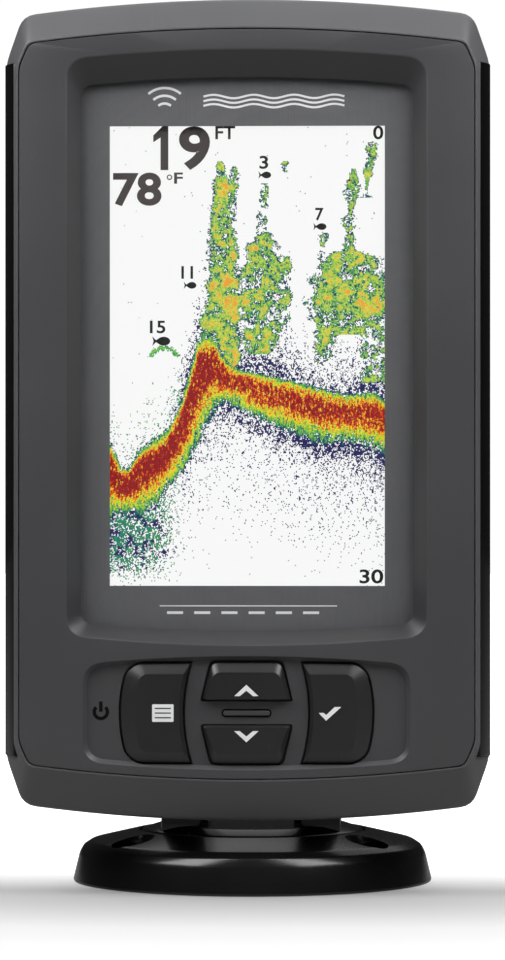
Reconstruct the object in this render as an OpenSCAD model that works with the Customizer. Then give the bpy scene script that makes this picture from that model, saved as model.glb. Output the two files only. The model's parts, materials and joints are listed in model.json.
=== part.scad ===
// Portrait fish finder: a sealed display head on a mount that tilts and swivels.
// Millimetres. The origin is the centre of the base's underside, +Z is up and the screen faces -Y.

/* [Head] */
// Width of the head across its side trims
head_w = 100; // [96:1:125]
// Height of the head at its middle
head_h = 169.4; // [165:0.2:210]
// Depth of the head from its face to its flat back
head_d = 29.5; // [29.5:0.5:38]
// Radius of the arched top and bottom edges
crown_r = 340; // [300:10:600]
// Gap under the head, above the base's underside
head_lift = 15.2; // [14.8:0.2:20]
// Width taken off each corner
corner_w = 4.7; // [2:0.1:6]
// Height taken off each corner
corner_h = 13.5; // [8:0.5:18]
// Depth of the slanted rim behind the face
rim_d = 6.4; // [5:0.1:8]
// Width of the slanted rim at each side, seen from the front
rim_side = 3.2; // [2.8:0.1:5]
// Height of the slanted rim over the face
rim_top = 6.6; // [4:0.1:9]
// Height of the slanted rim under the face
rim_bottom = 8.9; // [5:0.1:11]
// Depth of the front housing, from the face to the joint line
front_d = 15; // [14:0.5:17]
// Wall of the two housings
wall = 2.2; // [1.8:0.1:2.8]
// Height of the slope under the flat back
under_slope = 37; // [34:1:42]
// Height of the slope over the flat back
over_slope = 12.5; // [8:0.5:20]

/* [Face] */
// Thickness of the face plate
bezel_t = 1.6; // [1.4:0.1:2]
// Gap in the seam round the face plate
seam = 0.2; // [0.1:0.05:0.4]
// Thickness of the front housing's lip round the seam
lip = 0.35; // [0.3:0.05:0.8]
// Depth from the face down to the lens
recess_d = 3.5; // [3:0.1:4.5]
// Side run of the window's slanted wall
recess_run = 2.75; // [1.5:0.05:3.5]
// Top run of the window's slanted wall
recess_run_top = 5.65; // [2:0.05:7]
// Face plate between the window and the plate's side edge
window_side = 9.7; // [8:0.1:12]
// Face plate between the window and the plate's top edge
window_over = 3.95; // [3:0.05:6]
// Face plate under the window, where the keys are
window_under = 27.4; // [26:0.1:32]
// Thickness of the glossy side trims
trim_t = 0.9; // [0.6:0.1:1.1]
// Height that each side trim leaves free at its two ends
trim_end = 13.4; // [12:0.1:18]

/* [Display] */
// Width of the lit screen
screen_w = 56.6; // [50:0.1:60]
// Height of the lit screen
screen_h = 94.6; // [86:0.1:98]
// Thickness of the clear lens
lens_t = 1.5; // [1:0.1:2]
// Overlap of the lens behind the window's edge
lens_lap = 3; // [2:0.1:3.4]
// Thickness of the foam gasket behind the lens
gasket_t = 0.7; // [0.5:0.1:1.2]
// Thickness of the liquid crystal glass
panel_t = 2; // [1.4:0.1:2.4]
// Thickness of the backlight
backlight_t = 1.9; // [1.5:0.1:2.4]
// Border of the glass round the lit screen
panel_border = 3.2; // [2:0.1:4]
// Sheet of the metal display frame
frame_t = 0.8; // [0.5:0.1:1]

/* [Keys] */
// Height of the key cluster's middle above the face plate's lowest edge
keys_rise = 13.5; // [13:0.1:15]
// Width across the outer edges of the two side keys
keys_w = 51.6; // [48:0.2:58]
// Height of the side keys
side_key_h = 20.3; // [18:0.1:21]
// Width of the middle gap between the two side keys
keys_gap = 26.1; // [25:0.1:28]
// Width of the up and down keys at their wide end
arrow_w = 18.2; // [16:0.1:19]
// Width of the up and down keys at their narrow end
arrow_tip_w = 14.2; // [12:0.1:16]
// Height of the up and down keys
arrow_h = 7.8; // [6.8:0.1:8]
// Gap round each key in the face plate
key_gap = 0.35; // [0.25:0.05:0.5]
// How far a key goes in when pressed
key_travel = 0.8; // [0.5:0.1:1]
// How far the keys stand proud of the face
key_proud = 0.3; // [0.1:0.1:0.8]
// Depth of the shallow dish round the keys
dish_d = 1.2; // [0.8:0.1:1.3]
// Width of the dish
dish_w = 65.4; // [62:0.2:72]
// Height of the collapsing silicone domes
dome_h = 1.6; // [1.4:0.1:2]

/* [Mount] */
// Radius of the base at its underside
base_r = 38.3; // [37:0.1:48]
// Height of the base at the turret's edge
base_h = 11; // [10.5:0.1:13]
// Radius of the turret
turret_r = 23.9; // [22:0.1:25]
// Hole spacing from side to side
hole_dx = 50; // [48:0.5:54]
// Hole spacing from front to back
hole_dy = 36; // [34:0.5:40]
// Radius of the mounting holes
hole_r = 2.3; // [1.8:0.1:2.6]
// Radius of the counterbores
counterbore_r = 4.1; // [3.6:0.1:4.4]
// Radius of the swivel spigot's bore
spigot_bore_r = 14.1; // [12:0.1:15]
// Height of the tilt axis
pivot_z = 58; // [56:0.5:64]
// Radius of the arm tops and of the head's lug
pivot_r = 9.3; // [8:0.1:10]
// Gap between the two arms
arm_gap = 20.9; // [18:0.1:24]
// Thickness of each arm
arm_t = 8.5; // [6:0.1:10]
// Half of each arm's depth where it meets the turret
arm_foot = 12.5; // [10:0.1:14]
// Clearance between the arm tops and the head's back
back_gap = 2.2; // [1.6:0.1:4]
// Radius of the clamping studs
stud_r = 2.45; // [2:0.05:3]
// Radius of the tilt knobs
knob_r = 9.3; // [8:0.1:10]
// Length of the tilt knobs
knob_len = 11; // [9:0.5:16]

/* [Sockets] */
// Distance between the two sockets
socket_dx = 32; // [28:1:44]
// Height of the sockets above the tilt axis
socket_rise = 34; // [26:1:50]
// Outer radius of a socket's collar
collar_r = 8; // [7:0.1:9]
// Bore radius of a socket's collar
collar_bore_r = 6.3; // [5.6:0.1:6.8]
// Length of a collar outside the back
collar_len = 6; // [4:0.5:10]

/* [Hidden] */
$fn = 64;
crown_fn = 360;
gap = 0.1;          // plain clearance between parts that don't move
run_gap = 0.06;     // radial running clearance
past = 1;           // how far a cut runs past a face

// Planes from front to back
rear_y = -pivot_r - back_gap;
face_y = rear_y - head_d;
rim_y = face_y + rim_d;
part_y = face_y + front_d;
plate_back_y = face_y + bezel_t;
front_wall = 2;
front_wall_y = plate_back_y + front_wall;
lens_y = face_y + recess_d;
lens_back_y = lens_y + lens_t;
mask_t = 0.1;
gasket_y = lens_back_y + mask_t;
frame_y = gasket_y + gasket_t;
frame_lip = 0.3;
panel_y = frame_y + frame_lip;
backlight_y = panel_y + panel_t;
frame_back_y = backlight_y + backlight_t;
board_t = 1.6;
board_back_y = part_y + 1.5;
board_y = board_back_y - board_t;
wall_in_y = rear_y - wall;

// The head's outline
half_w = head_w / 2;
head_bot = head_lift;
head_top = head_lift + head_h;
head_mid = (head_bot + head_top) / 2;

// The face plate's outline
bez_half = half_w - rim_side - seam;
bez_bot = head_bot + rim_bottom + seam;
bez_top = head_top - rim_top - seam;
bez_cut_w = 3.3;
bez_cut_h = 7.8;

// The window and the lens
win_half = bez_half - window_side;
win_top = bez_top - window_over;
win_bot = bez_bot + window_under;
sight_half = win_half - recess_run;
sight_top = win_top - recess_run_top;
sight_bot = win_bot + recess_run;
lens_half = sight_half + lens_lap;
lens_top = sight_top + lens_lap;
lens_bot = sight_bot - lens_lap;
screen_z = (sight_top + sight_bot) / 2 - 0.3;
panel_w = screen_w + 2 * panel_border;
panel_h = screen_h + 3 * panel_border;
frame_w = panel_w + 2 * (gap + frame_t);
frame_h = panel_h + 2 * (gap + frame_t);
ear_x = lens_half + 3.75;
ear_z = screen_h * 0.42;

// The keys
keys_z = bez_bot + keys_rise;
key_front_y = face_y - key_proud;
dish_y = face_y + dish_d;
pad_back_y = plate_back_y + 1.2;
flange_y = pad_back_y + 2 * gap;
flange_t = 1;
flange_lap = 0.8;
dome_y = flange_y + flange_t;
membrane_y = dome_y + dome_h;
membrane_t = 0.8;
key_board_y = membrane_y + membrane_t;
dish_h = side_key_h + 1.3;
concave_r = 35;     // inner edge of the side keys
convex_r = 30;      // outer edge of the side keys
arrow_z = 10.35 - arrow_h / 2;
side_key_x = (keys_w + keys_gap) / 4;
dome_spots = [[-side_key_x, 0], [0, arrow_z], [0, -arrow_z], [side_key_x, 0]];
key_board_w = keys_w + 10;
key_board_h = side_key_h + 2.4;

// Fasteners
case_screw_x = half_w - 11;
case_screw_z = [bez_bot + 4, head_mid, bez_top - 6];
screw_r = 1.5;
head_r = 2.7;
board_half = half_w - 15.6;
board_bot = head_bot + 17;
board_top = head_top - 14;
board_screw_x = board_half - 5;
board_screw_z = [head_bot + 31, head_top - 24];

// The mount
recess_floor = base_h - 3;
retainer_z = 3.6;
retainer_roof = retainer_z + 1;
retainer_r = spigot_bore_r + 4.4;
arm_in = arm_gap / 2;
arm_out = arm_in + arm_t;
turret_top = base_h + 1.3;
washer_t = 0.9;
lug_half = arm_in - washer_t - gap;
insert_r = stud_r + run_gap + 1;
insert_len = 6;
socket_z = pivot_z + socket_rise;
socket_floor_y = rear_y - wall - 1.5;

// Left-hand normal of the side from a to b, which points into an outline listed anticlockwise
function inward(a, b) = [a[1] - b[1], b[0] - a[0]] / norm(b - a);

// An outline whose sides have all moved inward by d
function inset(pts, d) = [
    for (i = [0 : len(pts) - 1])
        let (
            n = len(pts),
            before = inward(pts[(i + n - 1) % n], pts[i]),
            after = inward(pts[i], pts[(i + 1) % n])
        )
        pts[i] + d * (before + after) / (1 + before * after)
];

// Stands a shape drawn in X and Z between the planes y0 and y1
module upright(y0, y1) {
    translate([0, y1, 0]) rotate([90, 0, 0]) linear_extrude(y1 - y0) children();
}

// Stands a shape drawn in Y and Z between the planes x0 and x1
module sideways(x0, x1) {
    translate([x0, 0, 0]) rotate([90, 0, 90]) linear_extrude(x1 - x0) children();
}

// A box from its lowest corner to its highest
module box(low, high) {
    translate(low) cube(high - low);
}

// A round bar along Y
module rod_y(x, z, y0, y1, r) {
    translate([x, y1, z]) rotate([90, 0, 0]) cylinder(h = y1 - y0, r = r);
}

// A round bar along X
module rod_x(x0, x1, y, z, r) {
    translate([x0, y, z]) rotate([0, 90, 0]) cylinder(h = x1 - x0, r = r);
}

// Outline with arched ends and cut corners, drawn in X and Z
module plate(half, bottom, top, cut_w, cut_h) {
    x1 = half - cut_w;
    intersection() {
        polygon([
            [-x1, bottom], [x1, bottom], [half, bottom + cut_h], [half, top - cut_h],
            [x1, top], [-x1, top], [-half, top - cut_h], [-half, bottom + cut_h]
        ]);
        translate([0, top - crown_r]) circle(crown_r, $fn = crown_fn);
        translate([0, bottom + crown_r]) circle(crown_r, $fn = crown_fn);
    }
}

// Outline with arched ends and square corners, drawn in X and Z
module arched(half, bottom, top) {
    intersection() {
        translate([-half, bottom]) square([2 * half, top - bottom]);
        translate([0, top - crown_r]) circle(crown_r, $fn = crown_fn);
        translate([0, bottom + crown_r]) circle(crown_r, $fn = crown_fn);
    }
}

// Block with arched ends that changes evenly from its front outline to its back one.
// Each outline is [half width, bottom, top].
module arched_taper(y0, y1, front, back) {
    low = min(front[1], back[1]) - past;
    high = max(front[2], back[2]) + past;
    intersection() {
        translate([0, 0, low]) linear_extrude(high - low)
            polygon([[-front[0], y0], [front[0], y0], [back[0], y1], [-back[0], y1]]);
        translate([0, y1, back[2] - crown_r]) rotate([90, 0, 0])
            cylinder(h = y1 - y0, r1 = crown_r, r2 = crown_r + front[2] - back[2], $fn = crown_fn);
        translate([0, y1, back[1] + crown_r]) rotate([90, 0, 0])
            cylinder(h = y1 - y0, r1 = crown_r, r2 = crown_r + back[1] - front[1], $fn = crown_fn);
    }
}

// ---- Mount ----

module base_holes() {
    for (x = [-1, 1], y = [-1, 1]) translate([x * hole_dx / 2, y * hole_dy / 2, 0]) children();
}

// Section of the base, with the turret's recess, the spigot's bore and the retainer's pocket
module base_section() {
    rim_z = base_h - 2.4;
    polygon([
        [retainer_r + 0.6, 0], [base_r, 0], [base_r - 1.5, base_h * 0.56], [base_r - 3.4, rim_z],
        [turret_r + 0.3, base_h], [turret_r + 0.3, recess_floor],
        [spigot_bore_r, recess_floor], [spigot_bore_r, retainer_roof],
        [retainer_r + 0.6, retainer_roof]
    ]);
}

module mount_base() {
    ring_in = retainer_r + 3;
    ring_out = base_r - 3.6;
    pocket_h = 5;
    rib_t = 1.6;
    color([0.05, 0.05, 0.05]) difference() {
        rotate_extrude($fn = 128) base_section();
        difference() {
            translate([0, 0, -past]) cylinder(h = pocket_h + past, r = ring_out, $fn = 128);
            translate([0, 0, -2 * past]) cylinder(h = pocket_h + 4 * past, r = ring_in, $fn = 128);
            base_holes() translate([0, 0, -2 * past]) cylinder(h = pocket_h + 4 * past, r = counterbore_r + 1.6);
            for (turn = [0 : 30 : 150]) rotate(turn)
                box([-base_r, -rib_t / 2, -2 * past], [base_r, rib_t / 2, pocket_h + 2 * past]);
        }
        base_holes() {
            translate([0, 0, -past]) cylinder(h = base_h, r = hole_r);
            translate([0, 0, pocket_h]) cylinder(h = base_h, r = counterbore_r);
        }
    }
}

module friction_washer() {
    color([0.85, 0.84, 0.78]) translate([0, 0, retainer_z + 0.05]) difference() {
        cylinder(h = washer_t, r = retainer_r - 0.4);
        translate([0, 0, -past]) cylinder(h = washer_t + 2 * past, r = spigot_bore_r + 0.2);
    }
}

retainer_t = 1.2;
retainer_pcd_r = 10;

module retainer_spots() {
    for (turn = [30 : 120 : 270]) rotate(turn) translate([retainer_pcd_r, 0, 0]) children();
}

module swivel_retainer() {
    color([0.7, 0.7, 0.72]) translate([0, 0, retainer_z - retainer_t]) difference() {
        cylinder(h = retainer_t, r = retainer_r);
        retainer_spots() translate([0, 0, -past]) cylinder(h = retainer_t + 2 * past, r = screw_r + 0.2);
    }
}

module retainer_screws() {
    color([0.75, 0.75, 0.77]) retainer_spots() {
        translate([0, 0, retainer_z - retainer_t - 1.6]) difference() {
            cylinder(h = 1.6, r = head_r);
            translate([0, 0, -past]) cylinder(h = past + 0.9, r = 1.3, $fn = 6);
        }
        translate([0, 0, retainer_z - retainer_t]) cylinder(h = 6.5, r = screw_r);
    }
}

// Side view of an arm: straight sides that close in from the foot to the round top
module arm_side() {
    translate([0, pivot_z]) circle(pivot_r);
    polygon([
        [-arm_foot, recess_floor + 1], [arm_foot, recess_floor + 1], [arm_foot, turret_top],
        [pivot_r, pivot_z], [-pivot_r, pivot_z], [-arm_foot, turret_top]
    ]);
}

module swivel_yoke() {
    spigot_r = spigot_bore_r - run_gap;
    web = 1.4;
    color([0.05, 0.05, 0.05]) difference() {
        union() {
            rotate_extrude($fn = 128) polygon([
                [0, retainer_z], [spigot_r, retainer_z], [spigot_r, recess_floor + 0.05],
                [turret_r, recess_floor + 0.05], [turret_r, base_h], [turret_r - 4.4, turret_top],
                [0, turret_top]
            ]);
            // The arms, whose feet stay on the turret
            intersection() {
                for (side = [-1, 1])
                    sideways(side > 0 ? arm_in : -arm_out, side > 0 ? arm_out : -arm_in) arm_side();
                union() {
                    cylinder(h = base_h + 1, r = turret_r, $fn = 128);
                    translate([0, 0, base_h + 0.5]) cylinder(h = pivot_z, r = 2 * turret_r);
                }
            }
            for (side = [-1, 1]) {
                // Low step at the inner foot
                box(
                    [side > 0 ? arm_in - web : -arm_in - web, 1.5 - arm_foot, recess_floor + 2],
                    [side > 0 ? arm_in + web : web - arm_in, arm_foot - 1.5, turret_top + 1.6]
                );
            }
        }
        rod_x(-arm_out - past, arm_out + past, 0, pivot_z, stud_r + 0.3);
        retainer_spots() translate([0, 0, retainer_z - past]) cylinder(h = past + 6, r = screw_r);
    }
}

// ---- Tilt knobs. side is -1 for the left one and 1 for the right one ----

module on_side(side) {
    if (side > 0) children();
    else mirror([1, 0, 0]) children();
}

knob_in = 0.15;     // gap between a knob and its arm
knob_neck = 1.6;

module knob(side) {
    start = arm_out + knob_in;
    lobes = 9;
    color([0.06, 0.06, 0.06]) on_side(side) difference() {
        union() {
            rod_x(start, start + knob_neck, 0, pivot_z, knob_r - 2.4);
            translate([0, 0, pivot_z]) sideways(start + knob_neck, start + knob_len) difference() {
                circle(knob_r, $fn = 96);
                for (i = [0 : lobes - 1]) rotate(i * 360 / lobes)
                    translate([knob_r + 0.6, 0]) circle(1.7, $fn = 32);
            }
        }
        rod_x(start - past, start + knob_len - 3, 0, pivot_z, stud_r + 0.02);
        rod_x(start + knob_len - 1.2, start + knob_len + past, 0, pivot_z, knob_r - 4);
    }
}

module left_knob() { knob(-1); }
module right_knob() { knob(1); }

module stud(side) {
    color([0.72, 0.6, 0.32]) on_side(side)
        rod_x(lug_half - insert_len + 0.5, arm_out + knob_in + knob_len - 3.2, 0, pivot_z, stud_r);
}

module left_stud() { stud(-1); }
module right_stud() { stud(1); }

module tilt_washers() {
    color([0.12, 0.12, 0.12]) for (side = [-1, 1]) on_side(side) difference() {
        rod_x(lug_half, lug_half + washer_t, 0, pivot_z, pivot_r - 0.8);
        rod_x(lug_half - past, lug_half + washer_t + past, 0, pivot_z, stud_r + 0.3);
    }
}

module tilt_inserts() {
    color([0.78, 0.62, 0.3]) for (side = [-1, 1]) on_side(side) difference() {
        rod_x(lug_half - insert_len, lug_half, 0, pivot_z, insert_r);
        rod_x(lug_half - insert_len - past, lug_half + past, 0, pivot_z, stud_r + run_gap);
    }
}

// ---- Housings ----

// Side view of the rear housing, from the plane y0 back, listed anticlockwise
function rear_side(y0) = [
    [y0, head_bot], [part_y + 2, head_bot + 2.2], [rear_y, head_bot + under_slope],
    [rear_y, head_top - over_slope], [part_y + 4, head_top - 0.6], [y0, head_top]
];

// Top view of the rear housing, from the plane y0 back, listed anticlockwise
function rear_plan(y0) = [
    [half_w, y0], [half_w - 0.8, part_y + 6], [half_w - 8, rear_y],
    [8 - half_w, rear_y], [0.8 - half_w, part_y + 6], [-half_w, y0]
];

// The rear housing's block, with every face but the front one moved in by d
module rear_block(y0, d) {
    intersection() {
        upright(y0, rear_y) plate(half_w - d, head_bot + d, head_top - d, corner_w, corner_h);
        sideways(-half_w, half_w) polygon(inset(rear_side(y0 - d), d));
        translate([0, 0, head_bot]) linear_extrude(head_h) polygon(inset(rear_plan(y0 - d), d));
    }
}

// How far back the rear housing reaches at a height z
function back_at(z) = min(
    rear_y,
    part_y + 2 + (z - head_bot - 2.2) * (rear_y - part_y - 2) / (under_slope - 2.2),
    part_y + 4 + (head_top - 0.6 - z) * (rear_y - part_y - 4) / (over_slope - 0.6)
);

// Seat of a case screw's head at a height z
function seat_at(z) = min(back_at(z - head_r), back_at(z + head_r)) - 2.6;

module case_screw_spots(y0, y1, r) {
    for (x = [-1, 1], z = case_screw_z) rod_y(x * case_screw_x, z, y0, y1, r);
}

module board_screw_spots(y0, y1, r) {
    for (x = [-1, 1], z = board_screw_z) rod_y(x * board_screw_x, z, y0, y1, r);
}

module socket_spots(y0, y1, r) {
    for (x = [-1, 1]) rod_y(x * socket_dx / 2, socket_z, y0, y1, r);
}

module rear_housing() {
    color([0.16, 0.16, 0.17]) difference() {
        union() {
            difference() {
                rear_block(part_y, 0);
                rear_block(part_y - past, wall);
            }
            // The lug that sits between the arms
            rod_x(-lug_half, lug_half, 0, pivot_z, pivot_r);
            box([-lug_half, wall_in_y, pivot_z - pivot_r], [lug_half, 0, pivot_z + pivot_r]);
            // Posts for the case screws and the main board
            intersection() {
                rear_block(part_y, 0);
                union() {
                    case_screw_spots(part_y, rear_y, head_r + 1.5);
                    board_screw_spots(board_back_y, rear_y, 3);
                }
            }
        }
        rod_x(-lug_half - past, lug_half + past, 0, pivot_z, stud_r + 0.3);
        for (side = [-1, 1]) on_side(side)
            rod_x(lug_half - insert_len, lug_half + past, 0, pivot_z, insert_r);
        case_screw_spots(part_y - past, rear_y + past, screw_r + 0.2);
        for (x = [-1, 1], z = case_screw_z)
            rod_y(x * case_screw_x, z, seat_at(z), rear_y + past, head_r + 0.3);
        board_screw_spots(board_back_y - past, board_back_y + 6.5, screw_r);
        socket_spots(wall_in_y - past, rear_y + past, collar_r + gap);
    }
}

// Top view of the head's slanted side, with its surface moved in by d. Drawn for the right side.
module trim_section(d, reach) {
    front_half = bez_half + seam + lip;
    start_y = plate_back_y;
    start_half = front_half + (half_w - front_half) * (start_y - face_y) / rim_d;
    end_y = part_y - 1.4;
    polygon([
        [start_half - trim_t + d, start_y], [start_half + reach, start_y],
        [half_w + reach, rim_y], [half_w + reach, end_y],
        [half_w - trim_t + d, end_y], [half_w - trim_t + d, rim_y]
    ]);
}

module trim_block(d, reach) {
    translate([0, 0, head_bot + trim_end + d]) linear_extrude(head_h - 2 * trim_end - 2 * d)
        trim_section(d, reach);
}

module trim(side) {
    color([0.02, 0.02, 0.02]) on_side(side) trim_block(0.05, 0);
}

module left_trim() { trim(-1); }
module right_trim() { trim(1); }

module front_housing() {
    rim_front = [bez_half + seam + lip, bez_bot - seam - lip, bez_top + seam + lip];
    rim_back = [half_w, head_bot, head_top];
    at_wall = rim_front + (rim_back - rim_front) * (front_wall_y - face_y) / rim_d;
    shell = [-wall - trim_t, wall, -wall];
    cavity_front = at_wall + shell;
    cavity_back = rim_back + shell;
    color([0.2, 0.2, 0.21]) difference() {
        union() {
            difference() {
                intersection() {
                    union() {
                        arched_taper(face_y, rim_y, rim_front, rim_back);
                        upright(rim_y, part_y) arched(half_w, head_bot, head_top);
                    }
                    upright(face_y, part_y) plate(half_w, head_bot, head_top, corner_w, corner_h);
                }
                intersection() {
                    union() {
                        arched_taper(front_wall_y, rim_y, cavity_front, cavity_back);
                        upright(rim_y - past, part_y + past)
                            arched(cavity_back[0], cavity_back[1], cavity_back[2]);
                    }
                    upright(front_wall_y, part_y + past)
                        plate(half_w - wall, head_bot + wall, head_top - wall, corner_w, corner_h);
                }
            }
            // Posts for the case screws and the display
            case_screw_spots(front_wall_y - past, part_y, head_r + 0.8);
            for (x = [-1, 1], z = [-1, 1])
                rod_y(x * ear_x, screen_z + z * ear_z, front_wall_y - past, frame_y + past, 2.4);
        }
        // Seat of the face plate, and the openings behind it
        upright(face_y - past, plate_back_y)
            plate(bez_half + seam, bez_bot - seam, bez_top + seam, bez_cut_w, bez_cut_h);
        upright(plate_back_y - past, gasket_y + gap)
            arched(lens_half + 3 * gap, lens_bot - 3 * gap, lens_top + 3 * gap);
        box(
            [-dish_w / 2 - 1.2, plate_back_y - past, keys_z - dish_h / 2 - 1.2],
            [dish_w / 2 + 1.2, front_wall_y + past, keys_z + dish_h / 2 + 1.2]
        );
        // Groove for the seal
        upright(part_y - 1, part_y + past) difference() {
            plate(half_w - 0.7, head_bot + 0.7, head_top - 0.7, corner_w, corner_h);
            plate(half_w - 1.6, head_bot + 1.6, head_top - 1.6, corner_w, corner_h);
        }
        case_screw_spots(front_wall_y + 0.8, part_y + past, screw_r);
        for (x = [-1, 1], z = [-1, 1])
            rod_y(x * ear_x, screen_z + z * ear_z, front_wall_y, frame_y + 2 * past, 1);
        for (side = [-1, 1]) on_side(side) trim_block(0, past);
    }
}

module housing_seal() {
    color([0.35, 0.12, 0.1]) upright(part_y - 1, part_y) difference() {
        plate(half_w - 0.75, head_bot + 0.75, head_top - 0.75, corner_w, corner_h);
        plate(half_w - 1.55, head_bot + 1.55, head_top - 1.55, corner_w, corner_h);
    }
}

module housing_screws() {
    thread = 8;
    socket_depth = 1;
    color([0.7, 0.7, 0.72]) for (x = [-1, 1], z = case_screw_z) difference() {
        union() {
            rod_y(x * case_screw_x, z, seat_at(z), seat_at(z) + 1.8, head_r);
            rod_y(x * case_screw_x, z, part_y - thread, seat_at(z), screw_r);
        }
        translate([x * case_screw_x, seat_at(z) + 1.8 + past, z]) rotate([90, 0, 0])
            cylinder(h = past + socket_depth, r = 1.4, $fn = 6);
    }
}

// ---- Face plate ----

// Outline of the menu key, on the left of the cluster's middle
module side_key_2d(grow) {
    inner = keys_gap / 2 - grow;
    outer = keys_w / 2 + grow;
    high = side_key_h + 2 * grow;
    translate([0, keys_z]) difference() {
        intersection() {
            translate([-outer, -high / 2]) square([outer, high]);
            translate([convex_r - outer, 0]) circle(convex_r, $fn = 180);
            translate([-outer / 2 - 1.2, 0]) circle(side_key_h * 0.68 + grow, $fn = 120);
        }
        translate([concave_r - inner, 0]) circle(concave_r, $fn = 180);
    }
}

// Outline of the up key. The down key is its mirror image.
module arrow_key_2d(grow) {
    low = keys_z + arrow_z - arrow_h / 2 - grow;
    wide = arrow_w / 2 + grow;
    tip = arrow_tip_w / 2 + grow;
    polygon([[-wide, low], [wide, low], [tip, low + arrow_h + 2 * grow], [-tip, low + arrow_h + 2 * grow]]);
}

module down_key_2d(grow) {
    translate([0, 2 * keys_z]) mirror([0, 1]) arrow_key_2d(grow);
}

module every_key_2d(grow) {
    side_key_2d(grow);
    mirror([1, 0]) side_key_2d(grow);
    arrow_key_2d(grow);
    down_key_2d(grow);
}

module front_bezel() {
    pad_half = dish_w / 2 + 0.9;
    pad_h = dish_h + 1.8;
    pill_w = 10;
    pill_h = 1.3;
    color([0.2, 0.2, 0.21]) difference() {
        union() {
            upright(face_y, plate_back_y) plate(bez_half, bez_bot, bez_top, bez_cut_w, bez_cut_h);
            upright(plate_back_y - gap, lens_y) arched(lens_half, lens_bot, lens_top);
            box(
                [-pad_half, plate_back_y - gap, keys_z - pad_h / 2],
                [pad_half, pad_back_y, keys_z + pad_h / 2]
            );
        }
        arched_taper(
            face_y, lens_y + 0.001,
            [win_half, win_bot, win_top],
            [sight_half, sight_bot, sight_top]
        );
        difference() {
            upright(face_y - past, dish_y)
                arched(dish_w / 2, keys_z - dish_h / 2, keys_z + dish_h / 2);
            upright(face_y, dish_y + past) translate([0, keys_z]) {
                square([pill_w - pill_h, pill_h], center = true);
                for (side = [-1, 1]) translate([side * (pill_w - pill_h) / 2, 0]) circle(pill_h / 2);
            }
        }
        upright(face_y - past, face_y + 0.5) translate([-pill_w, keys_z - pill_h]) square([2 * pill_w, 2 * pill_h]);
        upright(face_y - past, pad_back_y + past) every_key_2d(key_gap);
    }
}

// ---- Keys, domes and keypad ----

module key_body(shade) {
    color(shade) {
        upright(key_front_y, flange_y + gap) children(0);
        upright(flange_y, dome_y) children(1);
    }
}

key_shade = [0.1, 0.1, 0.1];

module menu_key() {
    key_body(key_shade) {
        side_key_2d(0);
        side_key_2d(flange_lap);
    }
}

module enter_key() {
    mirror([1, 0, 0]) menu_key();
}

module up_key() {
    key_body(key_shade) {
        arrow_key_2d(0);
        arrow_key_2d(flange_lap);
    }
}

module down_key() {
    key_body(key_shade) {
        down_key_2d(0);
        down_key_2d(flange_lap);
    }
}

// A hollow silicone dome from the membrane up to the back of its key
module dome(i) {
    spot = dome_spots[i];
    color([0.55, 0.55, 0.56]) translate([spot[0], 0, keys_z + spot[1]]) rotate([90, 0, 0])
        translate([0, 0, -membrane_y]) rotate_extrude() polygon([
            [2.5, 0], [3.1, 0], [2.2, dome_h], [0, dome_h], [0, dome_h - 0.6], [1.7, dome_h - 0.6]
        ]);
}

module menu_dome() { dome(0); }
module up_dome() { dome(1); }
module down_dome() { dome(2); }
module enter_dome() { dome(3); }

module key_sheet_2d() {
    translate([-key_board_w / 2, keys_z - key_board_h / 2]) square([key_board_w, key_board_h]);
}

module keypad_membrane() {
    color([0.6, 0.6, 0.61]) difference() {
        upright(membrane_y, key_board_y) key_sheet_2d();
        for (spot = dome_spots)
            rod_y(spot[0], keys_z + spot[1], membrane_y - past, key_board_y + past, 2.4);
    }
}

module contact_pads() {
    color([0.85, 0.7, 0.3]) for (spot = dome_spots)
        rod_y(spot[0], keys_z + spot[1], key_board_y - 0.2, key_board_y, 1.9);
}

module keypad_board() {
    color([0.05, 0.3, 0.16]) upright(key_board_y, key_board_y + board_t) key_sheet_2d();
}

// Ribbon from the keypad board back to the main board, with a plug on its end
module keypad_flex() {
    y0 = key_board_y + board_t;
    z0 = keys_z + 2;
    color([0.75, 0.45, 0.15]) sideways(-7, 7) {
        translate([y0, z0]) square([0.2, 6]);
        translate([y0, z0 + 5.8]) square([board_y - 1.2 - y0, 0.2]);
        translate([board_y - 1.2, z0 + 3]) square([1.2, 6]);
    }
}

// ---- Display ----

module display_lens() {
    color([0.75, 0.8, 0.82, 0.3]) upright(lens_y, lens_back_y) arched(lens_half, lens_bot, lens_top);
}

module screen_2d(border) {
    translate([-screen_w / 2 - border, screen_z - screen_h / 2 - border])
        square([screen_w + 2 * border, screen_h + 2 * border]);
}

module lens_mask() {
    color([0.28, 0.28, 0.29]) upright(lens_back_y, gasket_y) difference() {
        arched(lens_half - 0.4, lens_bot + 0.4, lens_top - 0.4);
        screen_2d(0);
    }
}

module lens_gasket() {
    color([0.08, 0.08, 0.08]) upright(gasket_y, frame_y) difference() {
        translate([-frame_w / 2, screen_z - frame_h / 2]) square([frame_w, frame_h]);
        screen_2d(1);
    }
}

module panel_2d(border) {
    translate([-panel_w / 2 - border, screen_z - panel_h / 2 - border])
        square([panel_w + 2 * border, panel_h + 2 * border]);
}

module lcd_panel() {
    color([0.9, 0.93, 0.95]) upright(panel_y, backlight_y) panel_2d(0);
}

module backlight_panel() {
    color([0.95, 0.95, 0.92]) upright(backlight_y, frame_back_y) panel_2d(0);
}

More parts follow.
